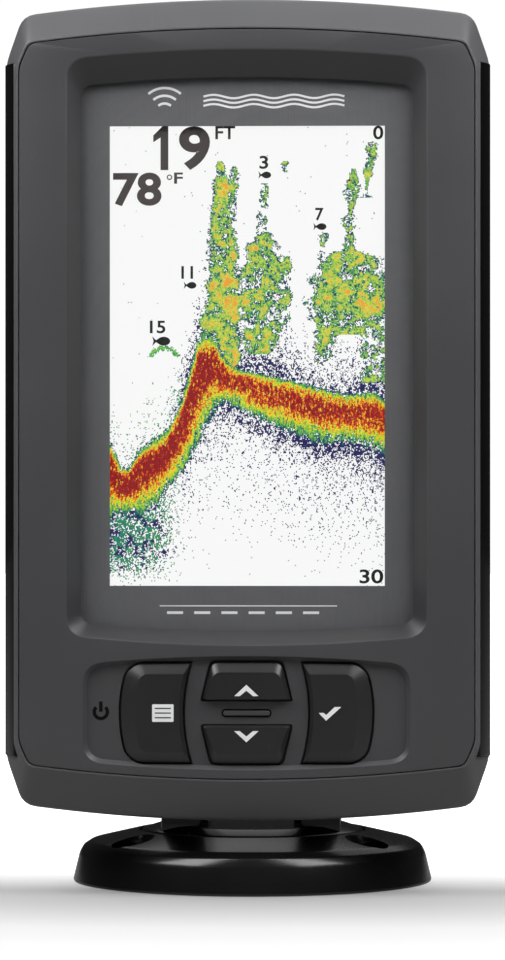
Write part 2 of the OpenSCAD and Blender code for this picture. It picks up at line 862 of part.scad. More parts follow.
module lcd_frame() {
    color([0.65, 0.66, 0.68]) difference() {
        union() {
            upright(frame_y, frame_back_y) panel_2d(gap + frame_t);
            for (side = [-1, 1], z = [-1, 1]) on_side(side) translate([0, 0, screen_z + z * ear_z])
                box([frame_w / 2 - 1, frame_y + past, -3], [ear_x + 2.5, frame_y + past + frame_t, 3]);
        }
        upright(panel_y, frame_back_y + past) panel_2d(gap);
        upright(frame_y - past, panel_y + past) screen_2d(1.2);
        for (x = [-1, 1], z = [-1, 1])
            rod_y(x * ear_x, screen_z + z * ear_z, frame_y - past, frame_back_y, 1.3);
    }
}

module display_screws() {
    seat = frame_y + past + frame_t;
    color([0.7, 0.7, 0.72]) for (x = [-1, 1], z = [-1, 1]) {
        rod_y(x * ear_x, screen_z + z * ear_z, seat, seat + 1.2, 1.9);
        rod_y(x * ear_x, screen_z + z * ear_z, front_wall_y + 0.2, seat, 1);
    }
}

// Ribbon from the display frame's back to the main board, with a plug on its end
module lcd_flex() {
    z0 = screen_z - 20;
    y0 = frame_back_y;
    color([0.8, 0.5, 0.2]) sideways(-12, 12) {
        translate([y0, z0 - 8]) square([0.2, 8]);
        translate([y0, z0 - 8]) square([board_y - 1.2 - y0, 0.2]);
        translate([board_y - 1.2, z0 - 14]) square([1.2, 6.2]);
    }
}

// ---- Electronics ----

module main_board() {
    color([0.04, 0.32, 0.18]) difference() {
        box([-board_half, board_y, board_bot], [board_half, board_back_y, board_top]);
        board_screw_spots(board_y - past, board_back_y + past, screw_r + 0.2);
    }
}

module board_screws() {
    color([0.72, 0.72, 0.74]) {
        board_screw_spots(board_y - 1.6, board_y, head_r);
        board_screw_spots(board_y, board_back_y + 5, screw_r);
    }
}

module processor_chip() {
    color([0.06, 0.06, 0.06])
        translate([-16, board_back_y, socket_z + 36]) box([-9, 0, -9], [9, 1.4, 9]);
}

module shield_can() {
    sheet = 0.4;
    color([0.75, 0.76, 0.78]) translate([15, board_back_y, socket_z + 38]) difference() {
        box([-13, 0, -17], [13, 5, 17]);
        box([sheet - 13, -past, sheet - 17], [13 - sheet, 5 - sheet, 17 - sheet]);
    }
}

// Ferrite core with its winding, which steps up the pulse for the transducer
module pulse_transformer() {
    color([0.2, 0.2, 0.2]) translate([0, board_back_y, pivot_z + 14]) {
        box([-8, 0, -6], [8, 2, 6]);
        box([-8, 2, -6], [-5, 8.5, 6]);
        box([5, 2, -6], [8, 8.5, 6]);
        box([-8, 8.5, -6], [8, 9.5, 6]);
        translate([0, 8.5, 0]) rotate([90, 0, 0]) cylinder(h = 6.5, r = 4.8);
    }
}

module capacitors() {
    color([0.15, 0.16, 0.3]) for (x = [-26, -15, 26])
        rod_y(x, socket_z - 20, board_back_y, board_back_y + 8, 4);
}

module piezo_buzzer() {
    color([0.07, 0.07, 0.07]) difference() {
        rod_y(0, socket_z + 5, board_back_y, board_back_y + 4.5, 5);
        rod_y(0, socket_z + 5, board_back_y + 3, board_back_y + 6, 1);
    }
}

// ---- Sockets. side is -1 for power and 1 for the transducer ----

pin_circle_r = 4.6;
pin_r = 0.6;
socket_back_y = board_back_y + 1;
// The collar's full radius starts this far behind the case
collar_step = 0.6;

module socket_pins(side, count, y0, y1, r) {
    for (i = [0 : count - 1])
        rod_y(
            side * socket_dx / 2 + pin_circle_r * cos(90 + i * 360 / count),
            socket_z + pin_circle_r * sin(90 + i * 360 / count),
            y0, y1, r
        );
}

module socket(side, count) {
    x = side * socket_dx / 2;
    color([0.1, 0.1, 0.11]) difference() {
        union() {
            rod_y(x, socket_z, socket_back_y, rear_y + collar_step, collar_r - 0.4);
            rod_y(x, socket_z, rear_y + collar_step - 0.01, rear_y + collar_len, collar_r);
            rod_y(x, socket_z, wall_in_y - 1.6, wall_in_y - 0.6, collar_r + 1.6);
        }
        rod_y(x, socket_z, socket_floor_y, rear_y + collar_len + past, collar_bore_r);
        socket_pins(side, count, socket_back_y - past, socket_floor_y + past, pin_r + 0.02);
    }
}

power_count = 3;
transducer_count = 4;

module power_socket() { socket(-1, power_count); }
module transducer_socket() { socket(1, transducer_count); }

module pins(side, count) {
    color([0.82, 0.68, 0.32])
        socket_pins(side, count, board_back_y, rear_y + collar_len - 1.5, pin_r);
}

module power_pins() { pins(-1, power_count); }
module transducer_pins() { pins(1, transducer_count); }

module socket_seals() {
    color([0.3, 0.1, 0.1]) difference() {
        socket_spots(wall_in_y - 0.6, wall_in_y, collar_r + 1.4);
        socket_spots(wall_in_y - past, wall_in_y + past, collar_r + gap);
    }
}

mount_base();
friction_washer();
swivel_retainer();
retainer_screws();
swivel_yoke();
left_knob();
right_knob();
left_stud();
right_stud();
tilt_washers();
tilt_inserts();
rear_housing();
front_housing();
housing_seal();
housing_screws();
left_trim();
right_trim();
front_bezel();
display_lens();
lens_mask();
lens_gasket();
lcd_panel();
backlight_panel();
lcd_frame();
display_screws();
lcd_flex();
menu_key();
up_key();
down_key();
enter_key();
menu_dome();
up_dome();
down_dome();
enter_dome();
keypad_membrane();
contact_pads();
keypad_board();
keypad_flex();
main_board();
board_screws();
processor_chip();
shield_can();
pulse_transformer();
capacitors();
piezo_buzzer();
power_socket();
transducer_socket();
power_pins();
transducer_pins();
socket_seals();
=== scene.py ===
import bpy
import bmesh
import json
import math
import random
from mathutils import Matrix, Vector


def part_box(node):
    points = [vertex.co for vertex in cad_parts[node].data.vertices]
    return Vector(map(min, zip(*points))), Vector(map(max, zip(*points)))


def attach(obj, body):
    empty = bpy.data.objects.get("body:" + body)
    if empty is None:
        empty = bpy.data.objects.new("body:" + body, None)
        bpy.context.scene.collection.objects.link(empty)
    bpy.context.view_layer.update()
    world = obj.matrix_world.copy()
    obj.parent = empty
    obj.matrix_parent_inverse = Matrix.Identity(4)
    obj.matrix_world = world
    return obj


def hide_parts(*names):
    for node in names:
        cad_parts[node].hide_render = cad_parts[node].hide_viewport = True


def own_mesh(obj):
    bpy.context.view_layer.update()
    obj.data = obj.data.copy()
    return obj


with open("model.json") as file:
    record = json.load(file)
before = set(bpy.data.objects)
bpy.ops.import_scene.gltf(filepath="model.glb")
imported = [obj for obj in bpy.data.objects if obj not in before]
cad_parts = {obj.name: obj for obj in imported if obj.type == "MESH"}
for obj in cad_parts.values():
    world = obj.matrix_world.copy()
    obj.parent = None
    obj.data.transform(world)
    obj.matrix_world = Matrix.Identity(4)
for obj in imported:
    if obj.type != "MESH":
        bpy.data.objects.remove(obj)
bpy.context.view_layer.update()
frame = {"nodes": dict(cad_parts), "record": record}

random.seed(7)
mm = 0.001               # sizes below are in millimetres
crownRadius = 340        # arch of the head's top and bottom edges

print("stage: helpers")


# a CAD node's lowest and highest corners in millimetres
def span(node):
    low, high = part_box(node)
    return Vector(low) / mm, Vector(high) / mm


def deselectAll():
    if bpy.context.mode != "OBJECT":
        bpy.ops.object.mode_set(mode="OBJECT")
    bpy.ops.object.select_all(action="DESELECT")


def makeActive(piece):
    deselectAll()
    piece.select_set(True)
    bpy.context.view_layer.objects.active = piece


def applyModifier(piece, kind, **settings):
    makeActive(piece)
    modifier = piece.modifiers.new(kind.title(), kind)
    for key, value in settings.items():
        setattr(modifier, key, value)
    bpy.ops.object.modifier_apply(modifier=modifier.name)


# cuts one piece with others, or joins them to it, and drops the tools
def combine(piece, tools, operation="DIFFERENCE"):
    for tool in tools:
        applyModifier(piece, "BOOLEAN", operation=operation, solver="EXACT", object=tool)
        bpy.data.objects.remove(tool, do_unlink=True)
    makeActive(piece)
    bpy.ops.object.shade_smooth_by_angle(angle=math.radians(26))


def selectVerts(mesh, verts):
    bpy.ops.mesh.select_all(action="DESELECT")
    for vert in verts:
        vert.select = True
    mesh.select_flush(True)


# a closed ring of corners, added as a circle and moved to its points
def addRing(mesh, piece, points):
    bpy.ops.mesh.select_all(action="DESELECT")
    bpy.ops.mesh.primitive_circle_add(vertices=len(points), radius=1)
    mesh = bmesh.from_edit_mesh(piece.data)
    ring = [vert for vert in mesh.verts if vert.select]
    for vert, point in zip(ring, points):
        vert.co = Vector(point) * mm
    return mesh, ring


# extrudes a ring's edges and moves the new corners to the next ring's points
def growRing(mesh, piece, ring, points):
    selectVerts(mesh, ring)
    bpy.ops.mesh.extrude_edges_move()
    mesh = bmesh.from_edit_mesh(piece.data)
    old = {vert: i for i, vert in enumerate(ring)}
    grown = [None] * len(ring)
    for vert in mesh.verts:
        if vert.select:
            for edge in vert.link_edges:
                other = edge.other_vert(vert)
                if other in old:
                    grown[old[other]] = vert
    for vert, point in zip(grown, points):
        vert.co = Vector(point) * mm
    return mesh, grown


def startPiece(name, points):
    deselectAll()
    bpy.ops.mesh.primitive_circle_add(vertices=len(points), radius=1)
    piece = bpy.context.object
    piece.name = piece.data.name = name
    bpy.ops.object.mode_set(mode="EDIT")
    mesh = bmesh.from_edit_mesh(piece.data)
    ring = list(mesh.verts)
    for vert, point in zip(ring, points):
        vert.co = Vector(point) * mm
    return piece, mesh, ring


def endPiece(piece, angle=30):
    bpy.ops.mesh.select_all(action="SELECT")
    bpy.ops.mesh.normals_make_consistent(inside=False)
    bpy.ops.object.mode_set(mode="OBJECT")
    makeActive(piece)
    bpy.ops.object.shade_smooth_by_angle(angle=math.radians(angle))
    return piece


# a solid that runs through rings with the same number of corners
def loft(name, rings, closed=False, angle=30):
    piece, mesh, first = startPiece(name, rings[0])
    last = first
    for points in rings[1:]:
        mesh, last = growRing(mesh, piece, last, points)
    if closed:
        selectVerts(mesh, first + last)
        bpy.ops.mesh.bridge_edge_loops()
    else:
        for ring in (first, last):
            selectVerts(mesh, ring)
            bpy.ops.mesh.edge_face_add()
            mesh = bmesh.from_edit_mesh(piece.data)
    return endPiece(piece, angle)


def bezier(a, b, c, steps):
    a, b, c = Vector(a), Vector(b), Vector(c)
    places = [i / steps for i in range(steps + 1)]
    return [a * (1 - t) ** 2 + b * (2 * t * (1 - t)) + c * t ** 2 for t in places]


def towards(a, b, distance):
    a, b = Vector(a), Vector(b)
    step = b - a
    return a + step * min(0.48, distance / max(step.length, 1e-6))


# rounds the edge that each ring makes with the rings before and after it
def softRings(rings, softness, closed=False, steps=3):
    count = len(rings)
    result = []
    for i, ring in enumerate(rings):
        atEnd = not closed and i in (0, count - 1)
        if atEnd or not softness[i]:
            result.append(ring)
            continue
        before, after = rings[i - 1], rings[(i + 1) % count]
        curves = [
            bezier(towards(p, q, softness[i]), p, towards(p, r, softness[i]), steps)
            for p, q, r in zip(ring, before, after)
        ]
        result += [[curve[k] for curve in curves] for k in range(steps + 1)]
    return result


# a flat closed outline whose corners are rounded: each corner is (x, z, softness)
def softOutline(corners, steps=5):
    points = []
    for i, (x, z, soft) in enumerate(corners):
        here = (x, z)
        if not soft:
            points.append(Vector(here))
            continue
        before = corners[i - 1][:2]
        after = corners[(i + 1) % len(corners)][:2]
        points += bezier(towards(here, before, soft), here, towards(here, after, soft), steps)
    return points


def sag(x):
    return crownRadius - math.sqrt(crownRadius ** 2 - x * x)


def standUp(points, y):
    return [(x, y, z) for x, z in points]


# mirrors the upper and lower quarters of an outline into a ring at depth y
def ringOf(upper, lower, y):
    right = upper + lower[::-1]
    left = [(-x, z) for x, z in right[::-1]][1:-1]
    return standUp(right + left, y)


# an outline with arched ends and cut corners
def plateRing(y, half, bottom, top, cutWide, cutHigh, soft, arcSteps=12):
    def quarter(end, sign):
        turn = half - cutWide
        arcEnd = turn - soft
        arc = [arcEnd * i / arcSteps for i in range(arcSteps + 1)]
        points = [(x, end - sign * sag(x)) for x in arc]
        first = (turn, end - sign * sag(turn))
        second = (half, end - sign * cutHigh)
        points += bezier(points[-1], first, towards(first, second, soft), 4)[1:]
        below = (half, second[1] - sign * soft)
        points += bezier(towards(second, first, soft), second, below, 4)
        return points
    return ringOf(quarter(top, 1), quarter(bottom, -1), y)


# an outline with arched ends and round corners
def windowRing(y, half, bottom, top, soft, arcSteps=10):
    def quarter(end, sign):
        arcEnd = half - soft
        arc = [arcEnd * i / arcSteps for i in range(arcSteps + 1)]
        points = [(x, end - sign * sag(x)) for x in arc]
        corner = (half, end - sign * sag(half))
        points += bezier(points[-1], corner, (half, corner[1] - sign * soft), 6)[1:]
        return points
    return ringOf(quarter(top, 1), quarter(bottom, -1), y)


# rings of a turned shape about the vertical axis, from (radius, height) pairs
def turnedRings(profile, count=96):
    turns = [2 * math.pi * i / count for i in range(count)]
    return [[(r * math.cos(a), r * math.sin(a), z) for a in turns] for r, z in profile]


# a rod between two points along X, Y or Z, used as a cutter or a pin
def rod(name, start, end, radius, count=32):
    axis = (Vector(end) - Vector(start)).normalized()
    side = Vector((0, 0, 1)) if abs(axis.z) < 0.5 else Vector((1, 0, 0))
    other = axis.cross(side)
    turns = [2 * math.pi * i / count for i in range(count)]
    circle = [(side * math.cos(a) + other * math.sin(a)) * radius for a in turns]
    return loft(name, [[Vector(end) + p for p in circle], [Vector(start) + p for p in circle]])


def finishPiece(piece, body, material, slot, *nodes):
    piece.data.materials.clear()
    piece.data.materials.append(material)
    if nodes:
        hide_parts(*nodes)
    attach(piece, body)
    return piece


print("stage: materials")


def newNode(tree, kind, **settings):
    node = tree.nodes.new(kind)
    for key, value in settings.items():
        setattr(node, key, value)
    return node


def mathNode(tree, operation, a, b=None, clamp=False):
    node = newNode(tree, "ShaderNodeMath", operation=operation, use_clamp=clamp)
    for socket, value in zip(node.inputs, (a, b)):
        if isinstance(value, (int, float)):
            socket.default_value = value
        elif value is not None:
            tree.links.new(value, socket)
    return node.outputs[0]


def noiseNode(tree, vector, scale, detail=4, roughness=0.6):
    node = newNode(tree, "ShaderNodeTexNoise")
    node.inputs["Scale"].default_value = scale
    node.inputs["Detail"].default_value = detail
    node.inputs["Roughness"].default_value = roughness
    tree.links.new(vector, node.inputs["Vector"])
    return node.outputs["Fac"]


def mixColour(tree, factor, a, b, blend="MIX"):
    node = newNode(tree, "ShaderNodeMix", data_type="RGBA", blend_type=blend)
    for socket, value in ((node.inputs[0], factor), (node.inputs[6], a), (node.inputs[7], b)):
        if isinstance(value, (int, float)):
            socket.default_value = value
        elif isinstance(value, tuple):
            socket.default_value = (*value[:3], 1)
        else:
            tree.links.new(value, socket)
    return node.outputs[2]


# moulded skin: a fine spark-eroded grain, slow shade changes, faint scuffs and settled dust
def makeSkinGroup():
    group = bpy.data.node_groups.new("mouldedSkin", "ShaderNodeTree")
    sockets = (
        ("Colour", "NodeSocketColor", (0.1, 0.1, 0.1, 1)), ("Roughness", "NodeSocketFloat", 0.5),
        ("Grain size", "NodeSocketFloat", 0.35), ("Grain depth", "NodeSocketFloat", 0.4),
        ("Shade change", "NodeSocketFloat", 0.12), ("Scuffs", "NodeSocketFloat", 0.2),
        ("Dust", "NodeSocketFloat", 0.1),
    )
    for name, kind, value in sockets:
        group.interface.new_socket(name, in_out="INPUT", socket_type=kind).default_value = value
    for name, kind in (("Colour", "NodeSocketColor"), ("Roughness", "NodeSocketFloat"), ("Normal", "NodeSocketVector")):
        group.interface.new_socket(name, in_out="OUTPUT", socket_type=kind)
    start = newNode(group, "NodeGroupInput")
    end = newNode(group, "NodeGroupOutput")
    place = newNode(group, "ShaderNodeTexCoord").outputs["Object"]
    perMm = mathNode(group, "DIVIDE", 1000, start.outputs["Grain size"])
    grain = newNode(group, "ShaderNodeTexNoise")
    grain.inputs["Detail"].default_value = 2
    group.links.new(place, grain.inputs["Vector"])
    group.links.new(perMm, grain.inputs["Scale"])
    shade = noiseNode(group, place, 26, 3)
    streak = newNode(group, "ShaderNodeMapping")
    streak.inputs["Rotation"].default_value = (0.3, 0.5, 0.6)
    streak.inputs["Scale"].default_value = (900, 60, 90)
    group.links.new(place, streak.inputs["Vector"])
    scuff = mathNode(group, "GREATER_THAN", noiseNode(group, streak.outputs["Vector"], 1, 5, 0.7), 0.66)
    scuffArea = mathNode(group, "GREATER_THAN", noiseNode(group, place, 60, 2), 0.56)
    scuff = mathNode(group, "MULTIPLY", mathNode(group, "MULTIPLY", scuff, scuffArea), start.outputs["Scuffs"])
    around = mathNode(group, "SUBTRACT", shade, 0.5)
    change = mathNode(group, "MULTIPLY", around, start.outputs["Shade change"])
    brighter = mathNode(group, "ADD", mathNode(group, "MULTIPLY", change, 2), 1)
    spread = newNode(group, "ShaderNodeVectorMath", operation="SCALE")
    group.links.new(start.outputs["Colour"], spread.inputs[0])
    group.links.new(brighter, spread.inputs["Scale"])
    specks = mathNode(group, "GREATER_THAN", noiseNode(group, place, 2600, 1), 0.72)
    dust = mathNode(group, "MULTIPLY", mathNode(group, "MULTIPLY", specks, start.outputs["Dust"]), shade, clamp=True)
    coloured = mixColour(group, dust, spread.outputs[0], (0.42, 0.40, 0.37))
    coloured = mixColour(group, mathNode(group, "MULTIPLY", scuff, 0.25), coloured, (0.30, 0.30, 0.31))
    group.links.new(coloured, end.inputs["Colour"])
    rougher = mathNode(group, "MULTIPLY", mathNode(group, "SUBTRACT", grain.outputs["Fac"], 0.5), 0.18)
    rough = mathNode(group, "ADD", start.outputs["Roughness"], rougher)
    rough = mathNode(group, "ADD", rough, mathNode(group, "MULTIPLY", around, 0.16))
    rough = mathNode(group, "ADD", rough, mathNode(group, "MULTIPLY", scuff, 0.2), clamp=True)
    group.links.new(rough, end.inputs["Roughness"])
    bump = newNode(group, "ShaderNodeBump")
    bump.inputs["Distance"].default_value = 0.00003
    group.links.new(start.outputs["Grain depth"], bump.inputs["Strength"])
    group.links.new(mathNode(group, "SUBTRACT", grain.outputs["Fac"], scuff), bump.inputs["Height"])
    group.links.new(bump.outputs["Normal"], end.inputs["Normal"])
    return group


skinGroup = makeSkinGroup()


def newMaterial(name):
    material = bpy.data.materials.new(name)
    material.use_nodes = True
    tree = material.node_tree
    return material, tree, tree.nodes["Principled BSDF"]


# a moulded, rubbery, metal or printed finish made from the shared skin
def skinMaterial(name, colour, roughness, grainSize=0.35, grainDepth=0.4, shadeChange=0.12, scuffs=0.2,
                 dust=0.08, metallic=0.0, coat=0.0, coatRoughness=0.1, specular=0.5, sheen=0.0):
    material, tree, shader = newMaterial(name)
    skin = newNode(tree, "ShaderNodeGroup", node_tree=skinGroup)
    skin.inputs["Colour"].default_value = (*colour, 1)
    values = (roughness, grainSize, grainDepth, shadeChange, scuffs, dust)
    for socket, value in zip(list(skin.inputs)[1:], values):
        socket.default_value = value
    tree.links.new(skin.outputs["Colour"], shader.inputs["Base Color"])
    tree.links.new(skin.outputs["Roughness"], shader.inputs["Roughness"])
    tree.links.new(skin.outputs["Normal"], shader.inputs["Normal"])
    shader.inputs["Metallic"].default_value = metallic
    shader.inputs["Coat Weight"].default_value = coat
    shader.inputs["Coat Roughness"].default_value = coatRoughness
    shader.inputs["Specular IOR Level"].default_value = specular
    shader.inputs["Sheen Weight"].default_value = sheen
    return material


casePlastic = skinMaterial("caseGrey", (0.075, 0.075, 0.078), 0.38, 0.30, 0.35, scuffs=0.12, dust=0.03)
facePlastic = skinMaterial("faceGrey", (0.053, 0.053, 0.056), 0.36, 0.26, 0.30, scuffs=0.10, dust=0.03)
# painted shade: a darker copy of the face grey for the walls of the screen recess
recessPaintedShadeGrey = skinMaterial("recessGreyPaintedShade", (0.033, 0.033, 0.035), 0.42, 0.26, 0.30, scuffs=0.10, dust=0.01, specular=0.35)
rearPlastic = skinMaterial("rearGrey", (0.050, 0.050, 0.052), 0.55, 0.45, 0.7, scuffs=0.25, dust=0.08)
trimGloss = skinMaterial("pianoBlack", (0.002, 0.002, 0.002), 0.10, 0.6, 0.02, scuffs=0.06, dust=0.01, coat=0.1, specular=0.25,
                         coatRoughness=0.04)
keyPlastic = skinMaterial("keyBlack", (0.015, 0.015, 0.015), 0.34, 0.22, 0.25, scuffs=0.12, dust=0.03)
markPrint = skinMaterial("whiteMark", (0.80, 0.80, 0.80), 0.55, 0.15, 0.2, shadeChange=0.04, scuffs=0.1, dust=0.02)
mountPlastic = skinMaterial("mountBlack", (0.005, 0.005, 0.005), 0.22, 0.30, 0.08, scuffs=0.15, dust=0.02)
knobPlastic = skinMaterial("knobBlack", (0.012, 0.012, 0.013), 0.50, 0.40, 0.6, scuffs=0.3, dust=0.08)
maskPrint = skinMaterial("maskGrey", (0.120, 0.120, 0.126), 0.60, 0.12, 0.1, shadeChange=0.05, scuffs=0.0, dust=0.0)
# black for the printed power mark, and painted shade for the groove round the pill
blackPrintAndGrooveShade = skinMaterial("blackPrintAndPaintedGrooveShade", (0.004, 0.004, 0.004), 0.7, 0.3, 0.3, scuffs=0, dust=0, specular=0.08)


print("stage: case")

headSizes = dict(
    halfWidth=50, bottom=15.2, top=184.6,    # the outline, on plan
    cornerWide=3.6, cornerHigh=13.5, cornerSoft=2.6,
    faceY=-41, rimY=-34.6, partY=-26,        # front, end of the slope, joint with the rear half
    lipHalf=47.15, lipBottom=23.75, lipTop=178.35,
    seam=0.2, wall=2.2,
)
faceSizes = dict(
    halfWidth=46.6, bottom=24.3, top=177.8, cornerWide=2.1, cornerHigh=7.8, cornerSoft=1.4,
    backY=-39.4, lensY=-37.5,
    windowHalf=36.9, windowBottom=51.7, windowTop=173.85, windowSoft=4.2,
    sightHalf=34.15, sightBottom=54.45, sightTop=168.2, sightSoft=2.6,
)
dishSizes = dict(half=32.7, bottom=27, top=48.6, soft=3.6, floorY=-39.8, lip=0.85)
keySizes = dict(
    centre=37.8, reach=25.8, inner=13.05, high=20.3, gap=0.45, corner=2.9,
    frontY=-41.24, shoulderY=-40.15, backY=-37.05, flangeY=-38, flange=0.7,
)


def headRing(y, grow=0, wide=None):
    h = headSizes
    half = h["halfWidth"] + grow if wide is None else wide
    return plateRing(y, half, h["bottom"] - grow, h["top"] + grow, h["cornerWide"], h["cornerHigh"], h["cornerSoft"])


def lipRing(y, grow=0):
    h, f = headSizes, faceSizes
    return plateRing(y, h["lipHalf"] + grow, h["lipBottom"] - grow, h["lipTop"] + grow,
                     f["cornerWide"], f["cornerHigh"], f["cornerSoft"])


def faceRing(y, grow=0):
    f = faceSizes
    return plateRing(y, f["halfWidth"] + grow, f["bottom"] - grow, f["top"] + grow,
                     f["cornerWide"], f["cornerHigh"], f["cornerSoft"])


def openingRing(y, grow=0, sight=False):
    f = faceSizes
    kind = "sight" if sight else "window"
    return windowRing(y, f[kind + "Half"] + grow, f[kind + "Bottom"] - grow, f[kind + "Top"] + grow,
                      f[kind + "Soft"], arcSteps=15)


# the gloss strip's section at one height, for the right-hand side
def stripSection(z, grow=0.0):
    return [
        (46.95 - grow, -39.4 - grow, z), (47.9 + grow * 3, -39.4 - grow, z), (49.98 + grow * 3, -34.7, z),
        (49.98 + grow * 3, -27.4 + grow, z), (49.05 - grow, -27.4 + grow, z), (49.05 - grow, -34.5, z),
    ]


def makeStrip(name, side, grow=0.0, ends=(28.75, 171.1)):
    low, high = ends
    rings = [stripSection(low - grow, grow), stripSection(high + grow, grow)]
    piece = loft(name, rings)
    if side < 0:
        makeActive(piece)
        bpy.ops.transform.mirror(constraint_axis=(True, False, False), center_override=(0, 0, 0))
        bpy.ops.object.transform_apply(location=True, rotation=True, scale=True)
        bpy.ops.object.mode_set(mode="EDIT")
        bpy.ops.mesh.select_all(action="SELECT")
        bpy.ops.mesh.normals_make_consistent(inside=False)
        bpy.ops.object.mode_set(mode="OBJECT")
    return piece


def boxBetween(name, low, high):
    deselectAll()
    low, high = Vector(low) * mm, Vector(high) * mm
    bpy.ops.mesh.primitive_cube_add(size=1, location=(low + high) / 2)
    bpy.ops.transform.resize(value=high - low)
    bpy.ops.object.transform_apply(location=True, rotation=True, scale=True)
    bpy.context.object.name = name
    return bpy.context.object


def makeFrontHousing():
    h = headSizes
    seat = faceRing(h["faceY"], h["seam"])
    rings = [
        headRing(h["partY"]), headRing(h["rimY"]), lipRing(h["faceY"]), seat, faceRing(-39.4, h["seam"]),
        openingRing(-39.4, -0.2), openingRing(-37.45, -0.2),
        plateRing(-37.4, 44.2, 26.4, 174.6, 2.4, 9, 1.4), plateRing(-34.6, 46.9, 17.6, 182.2, 3.6, 13.5, 2.4),
        plateRing(h["partY"], 46.9, 17.6, 182.2, 3.6, 13.5, 2.4),
    ]
    softness = [0.4, 1.1, 0.12, 0.1, 0, 0, 0, 0, 0, 0]
    piece = loft("frontHousing", softRings(rings, softness, closed=True), closed=True, angle=24)
    strips = [makeStrip("stripCut", side, 0.07) for side in (-1, 1)]
    keys = boxBetween("keyCut", (-33.9, -39.8, 25.8), (33.9, -36.9, 49.8))
    combine(piece, strips + [keys])
    return finishPiece(piece, "head", casePlastic, "case_plastic", "front_housing")


def makeFace():
    f, d, k = faceSizes, dishSizes, keySizes
    front = headSizes["faceY"]
    rings = [
        faceRing(f["backY"]), faceRing(front), openingRing(front),
        openingRing(f["lensY"], sight=True), openingRing(f["lensY"], 2.6, sight=True),
        openingRing(f["backY"], 0.9),
    ]
    piece = loft("facePlate", softRings(rings, [0, 0.22, 0.3, 0.12, 0, 0], closed=True), closed=True, angle=24)
    pad = boxBetween("keyPad", (-33.6, -39.6, 26.1), (33.6, -38.2, 49.5))
    combine(piece, [pad], "UNION")
    dish = loft("dishCut", [
        windowRing(front - 1.2, d["half"] + 1.9, d["bottom"] - 1.9, d["top"] + 1.9, d["soft"] + 1.2),
        windowRing(front + 0.05, d["half"] + d["lip"], d["bottom"] - d["lip"], d["top"] + d["lip"], d["soft"] + 0.8),
        windowRing(d["floorY"], d["half"], d["bottom"], d["top"], d["soft"]),
    ])
    pill = loft("pillKeep", [
        standUp(pillOutline(4.8, 0.5, 37.75), -39.5), standUp(pillOutline(4.8, 0.5, 37.75), -40.2),
        standUp(pillOutline(4.65, 0.36, 37.75), -40.33),
    ])
    combine(dish, [pill])
    cutters = [dish]
    for outline in (sideKeyOutline(-k["gap"], -k["gap"], -k["gap"], -1), sideKeyOutline(-k["gap"], -k["gap"], -k["gap"], 1),
                    arrowKeyOutline(-k["gap"], -k["gap"], 1), arrowKeyOutline(-k["gap"], -k["gap"], -1)):
        cutters.append(loft("keyHole", [standUp(outline, -41.5), standUp(outline, -37)]))
    combine(piece, cutters)
    face = finishPiece(piece, "head", facePlastic, "face_plastic", "front_bezel")
    # painted shade: the walls of the screen recess take the darker grey
    face.data.materials.append(recessPaintedShadeGrey)
    for polygon in face.data.polygons:
        place = polygon.center / mm
        if front + 0.12 < place.y < f["lensY"] + 0.2 and place.z > 50.5 and abs(place.x) < 38:
            polygon.material_index = 1  # walls of the screen recess
    return face


def pillOutline(reach, radius, z, steps=10):
    points = []
    for i in range(steps + 1):
        a = math.pi * (i / steps - 0.5)
        points.append((reach - radius + radius * math.cos(a), z + radius * math.sin(a)))
    return points + [(-x, 2 * z - y) for x, y in points]


# outline of a side key, drawn for the left one and mirrored by side
def sideKeyOutline(outer, inner, ends, side, levels=26):
    k = keySizes
    reach, half = k["reach"] - outer, k["high"] / 2 - ends
    corner = max(1.3, k["corner"] - ends)
    right, left = [], []
    for i in range(levels + 1):
        z = half * math.sin(math.pi * (i / levels - 0.5))
        right.append((21.95 - inner - math.sqrt(35 ** 2 - z * z), z))
        past = max(0, abs(z) - half + corner)  # how far into the rounded corner
        bowed = 30 - reach - math.sqrt(30 ** 2 - z * z)
        left.append((bowed + corner - math.sqrt(max(0, corner ** 2 - past ** 2)), z))
    points = right + left[::-1]
    if side < 0:
        return [(x, z + k["centre"]) for x, z in points]
    return [(-x, z + k["centre"]) for x, z in points[::-1]]


# outline of an arrow key: the wide end faces the middle of the key group
def arrowKeyOutline(sides, tip, side):
    low, high = 2.55 + sides * 0.5, 10.35 - tip
    wide, narrow = 9.1 - sides, 7.1 - sides
    corners = [(wide, low, 0.7), (narrow, high, 1.3), (-narrow, high, 1.3), (-wide, low, 0.7)]
    points = softOutline(corners, 6)
    if side < 0:
        points = [(x, -z) for x, z in points[::-1]]
    return [(x, z + keySizes["centre"]) for x, z in points]


def makeKey(name, body, node, outline, raised):
    k = keySizes
    flange = outline(-k["flange"])
    edge = outline(0)
    rings = [
        standUp(flange, k["backY"]), standUp(flange, k["flangeY"]), standUp(edge, k["flangeY"]),
        standUp(edge, k["shoulderY"]), standUp(raised, k["frontY"]),
    ]
    piece = loft(name, softRings(rings, [0, 0, 0, 0.3, 0.0], steps=4), angle=11)
    return finishPiece(piece, body, keyPlastic, "key_plastic", node)


frontHousing = makeFrontHousing()
facePlate = makeFace()
for name, node, side in (("leftStrip", "left_trim", -1), ("rightStrip", "right_trim", 1)):
    strip = makeStrip(name, side)
    applyModifier(strip, "BEVEL", width=0.25 * mm, segments=2, limit_method="ANGLE", angle_limit=math.radians(35))
    makeActive(strip)
    bpy.ops.object.shade_smooth_by_angle(angle=math.radians(30))
    finishPiece(strip, "head", trimGloss, "trim_gloss", node)
print("stage: keys")
for name, body, side in (("menuKey", "menu_key", -1), ("enterKey", "enter_key", 1)):
    makeKey(name, body, body, lambda d, s=side: sideKeyOutline(d, d, d, s), sideKeyOutline(3.1, 0.75, 2.2, side))
for name, body, side in (("upKey", "up_key", 1), ("downKey", "down_key", -1)):
    makeKey(name, body, body, lambda d, s=side: arrowKeyOutline(d, d, s), arrowKeyOutline(0.6, 2.0, side))
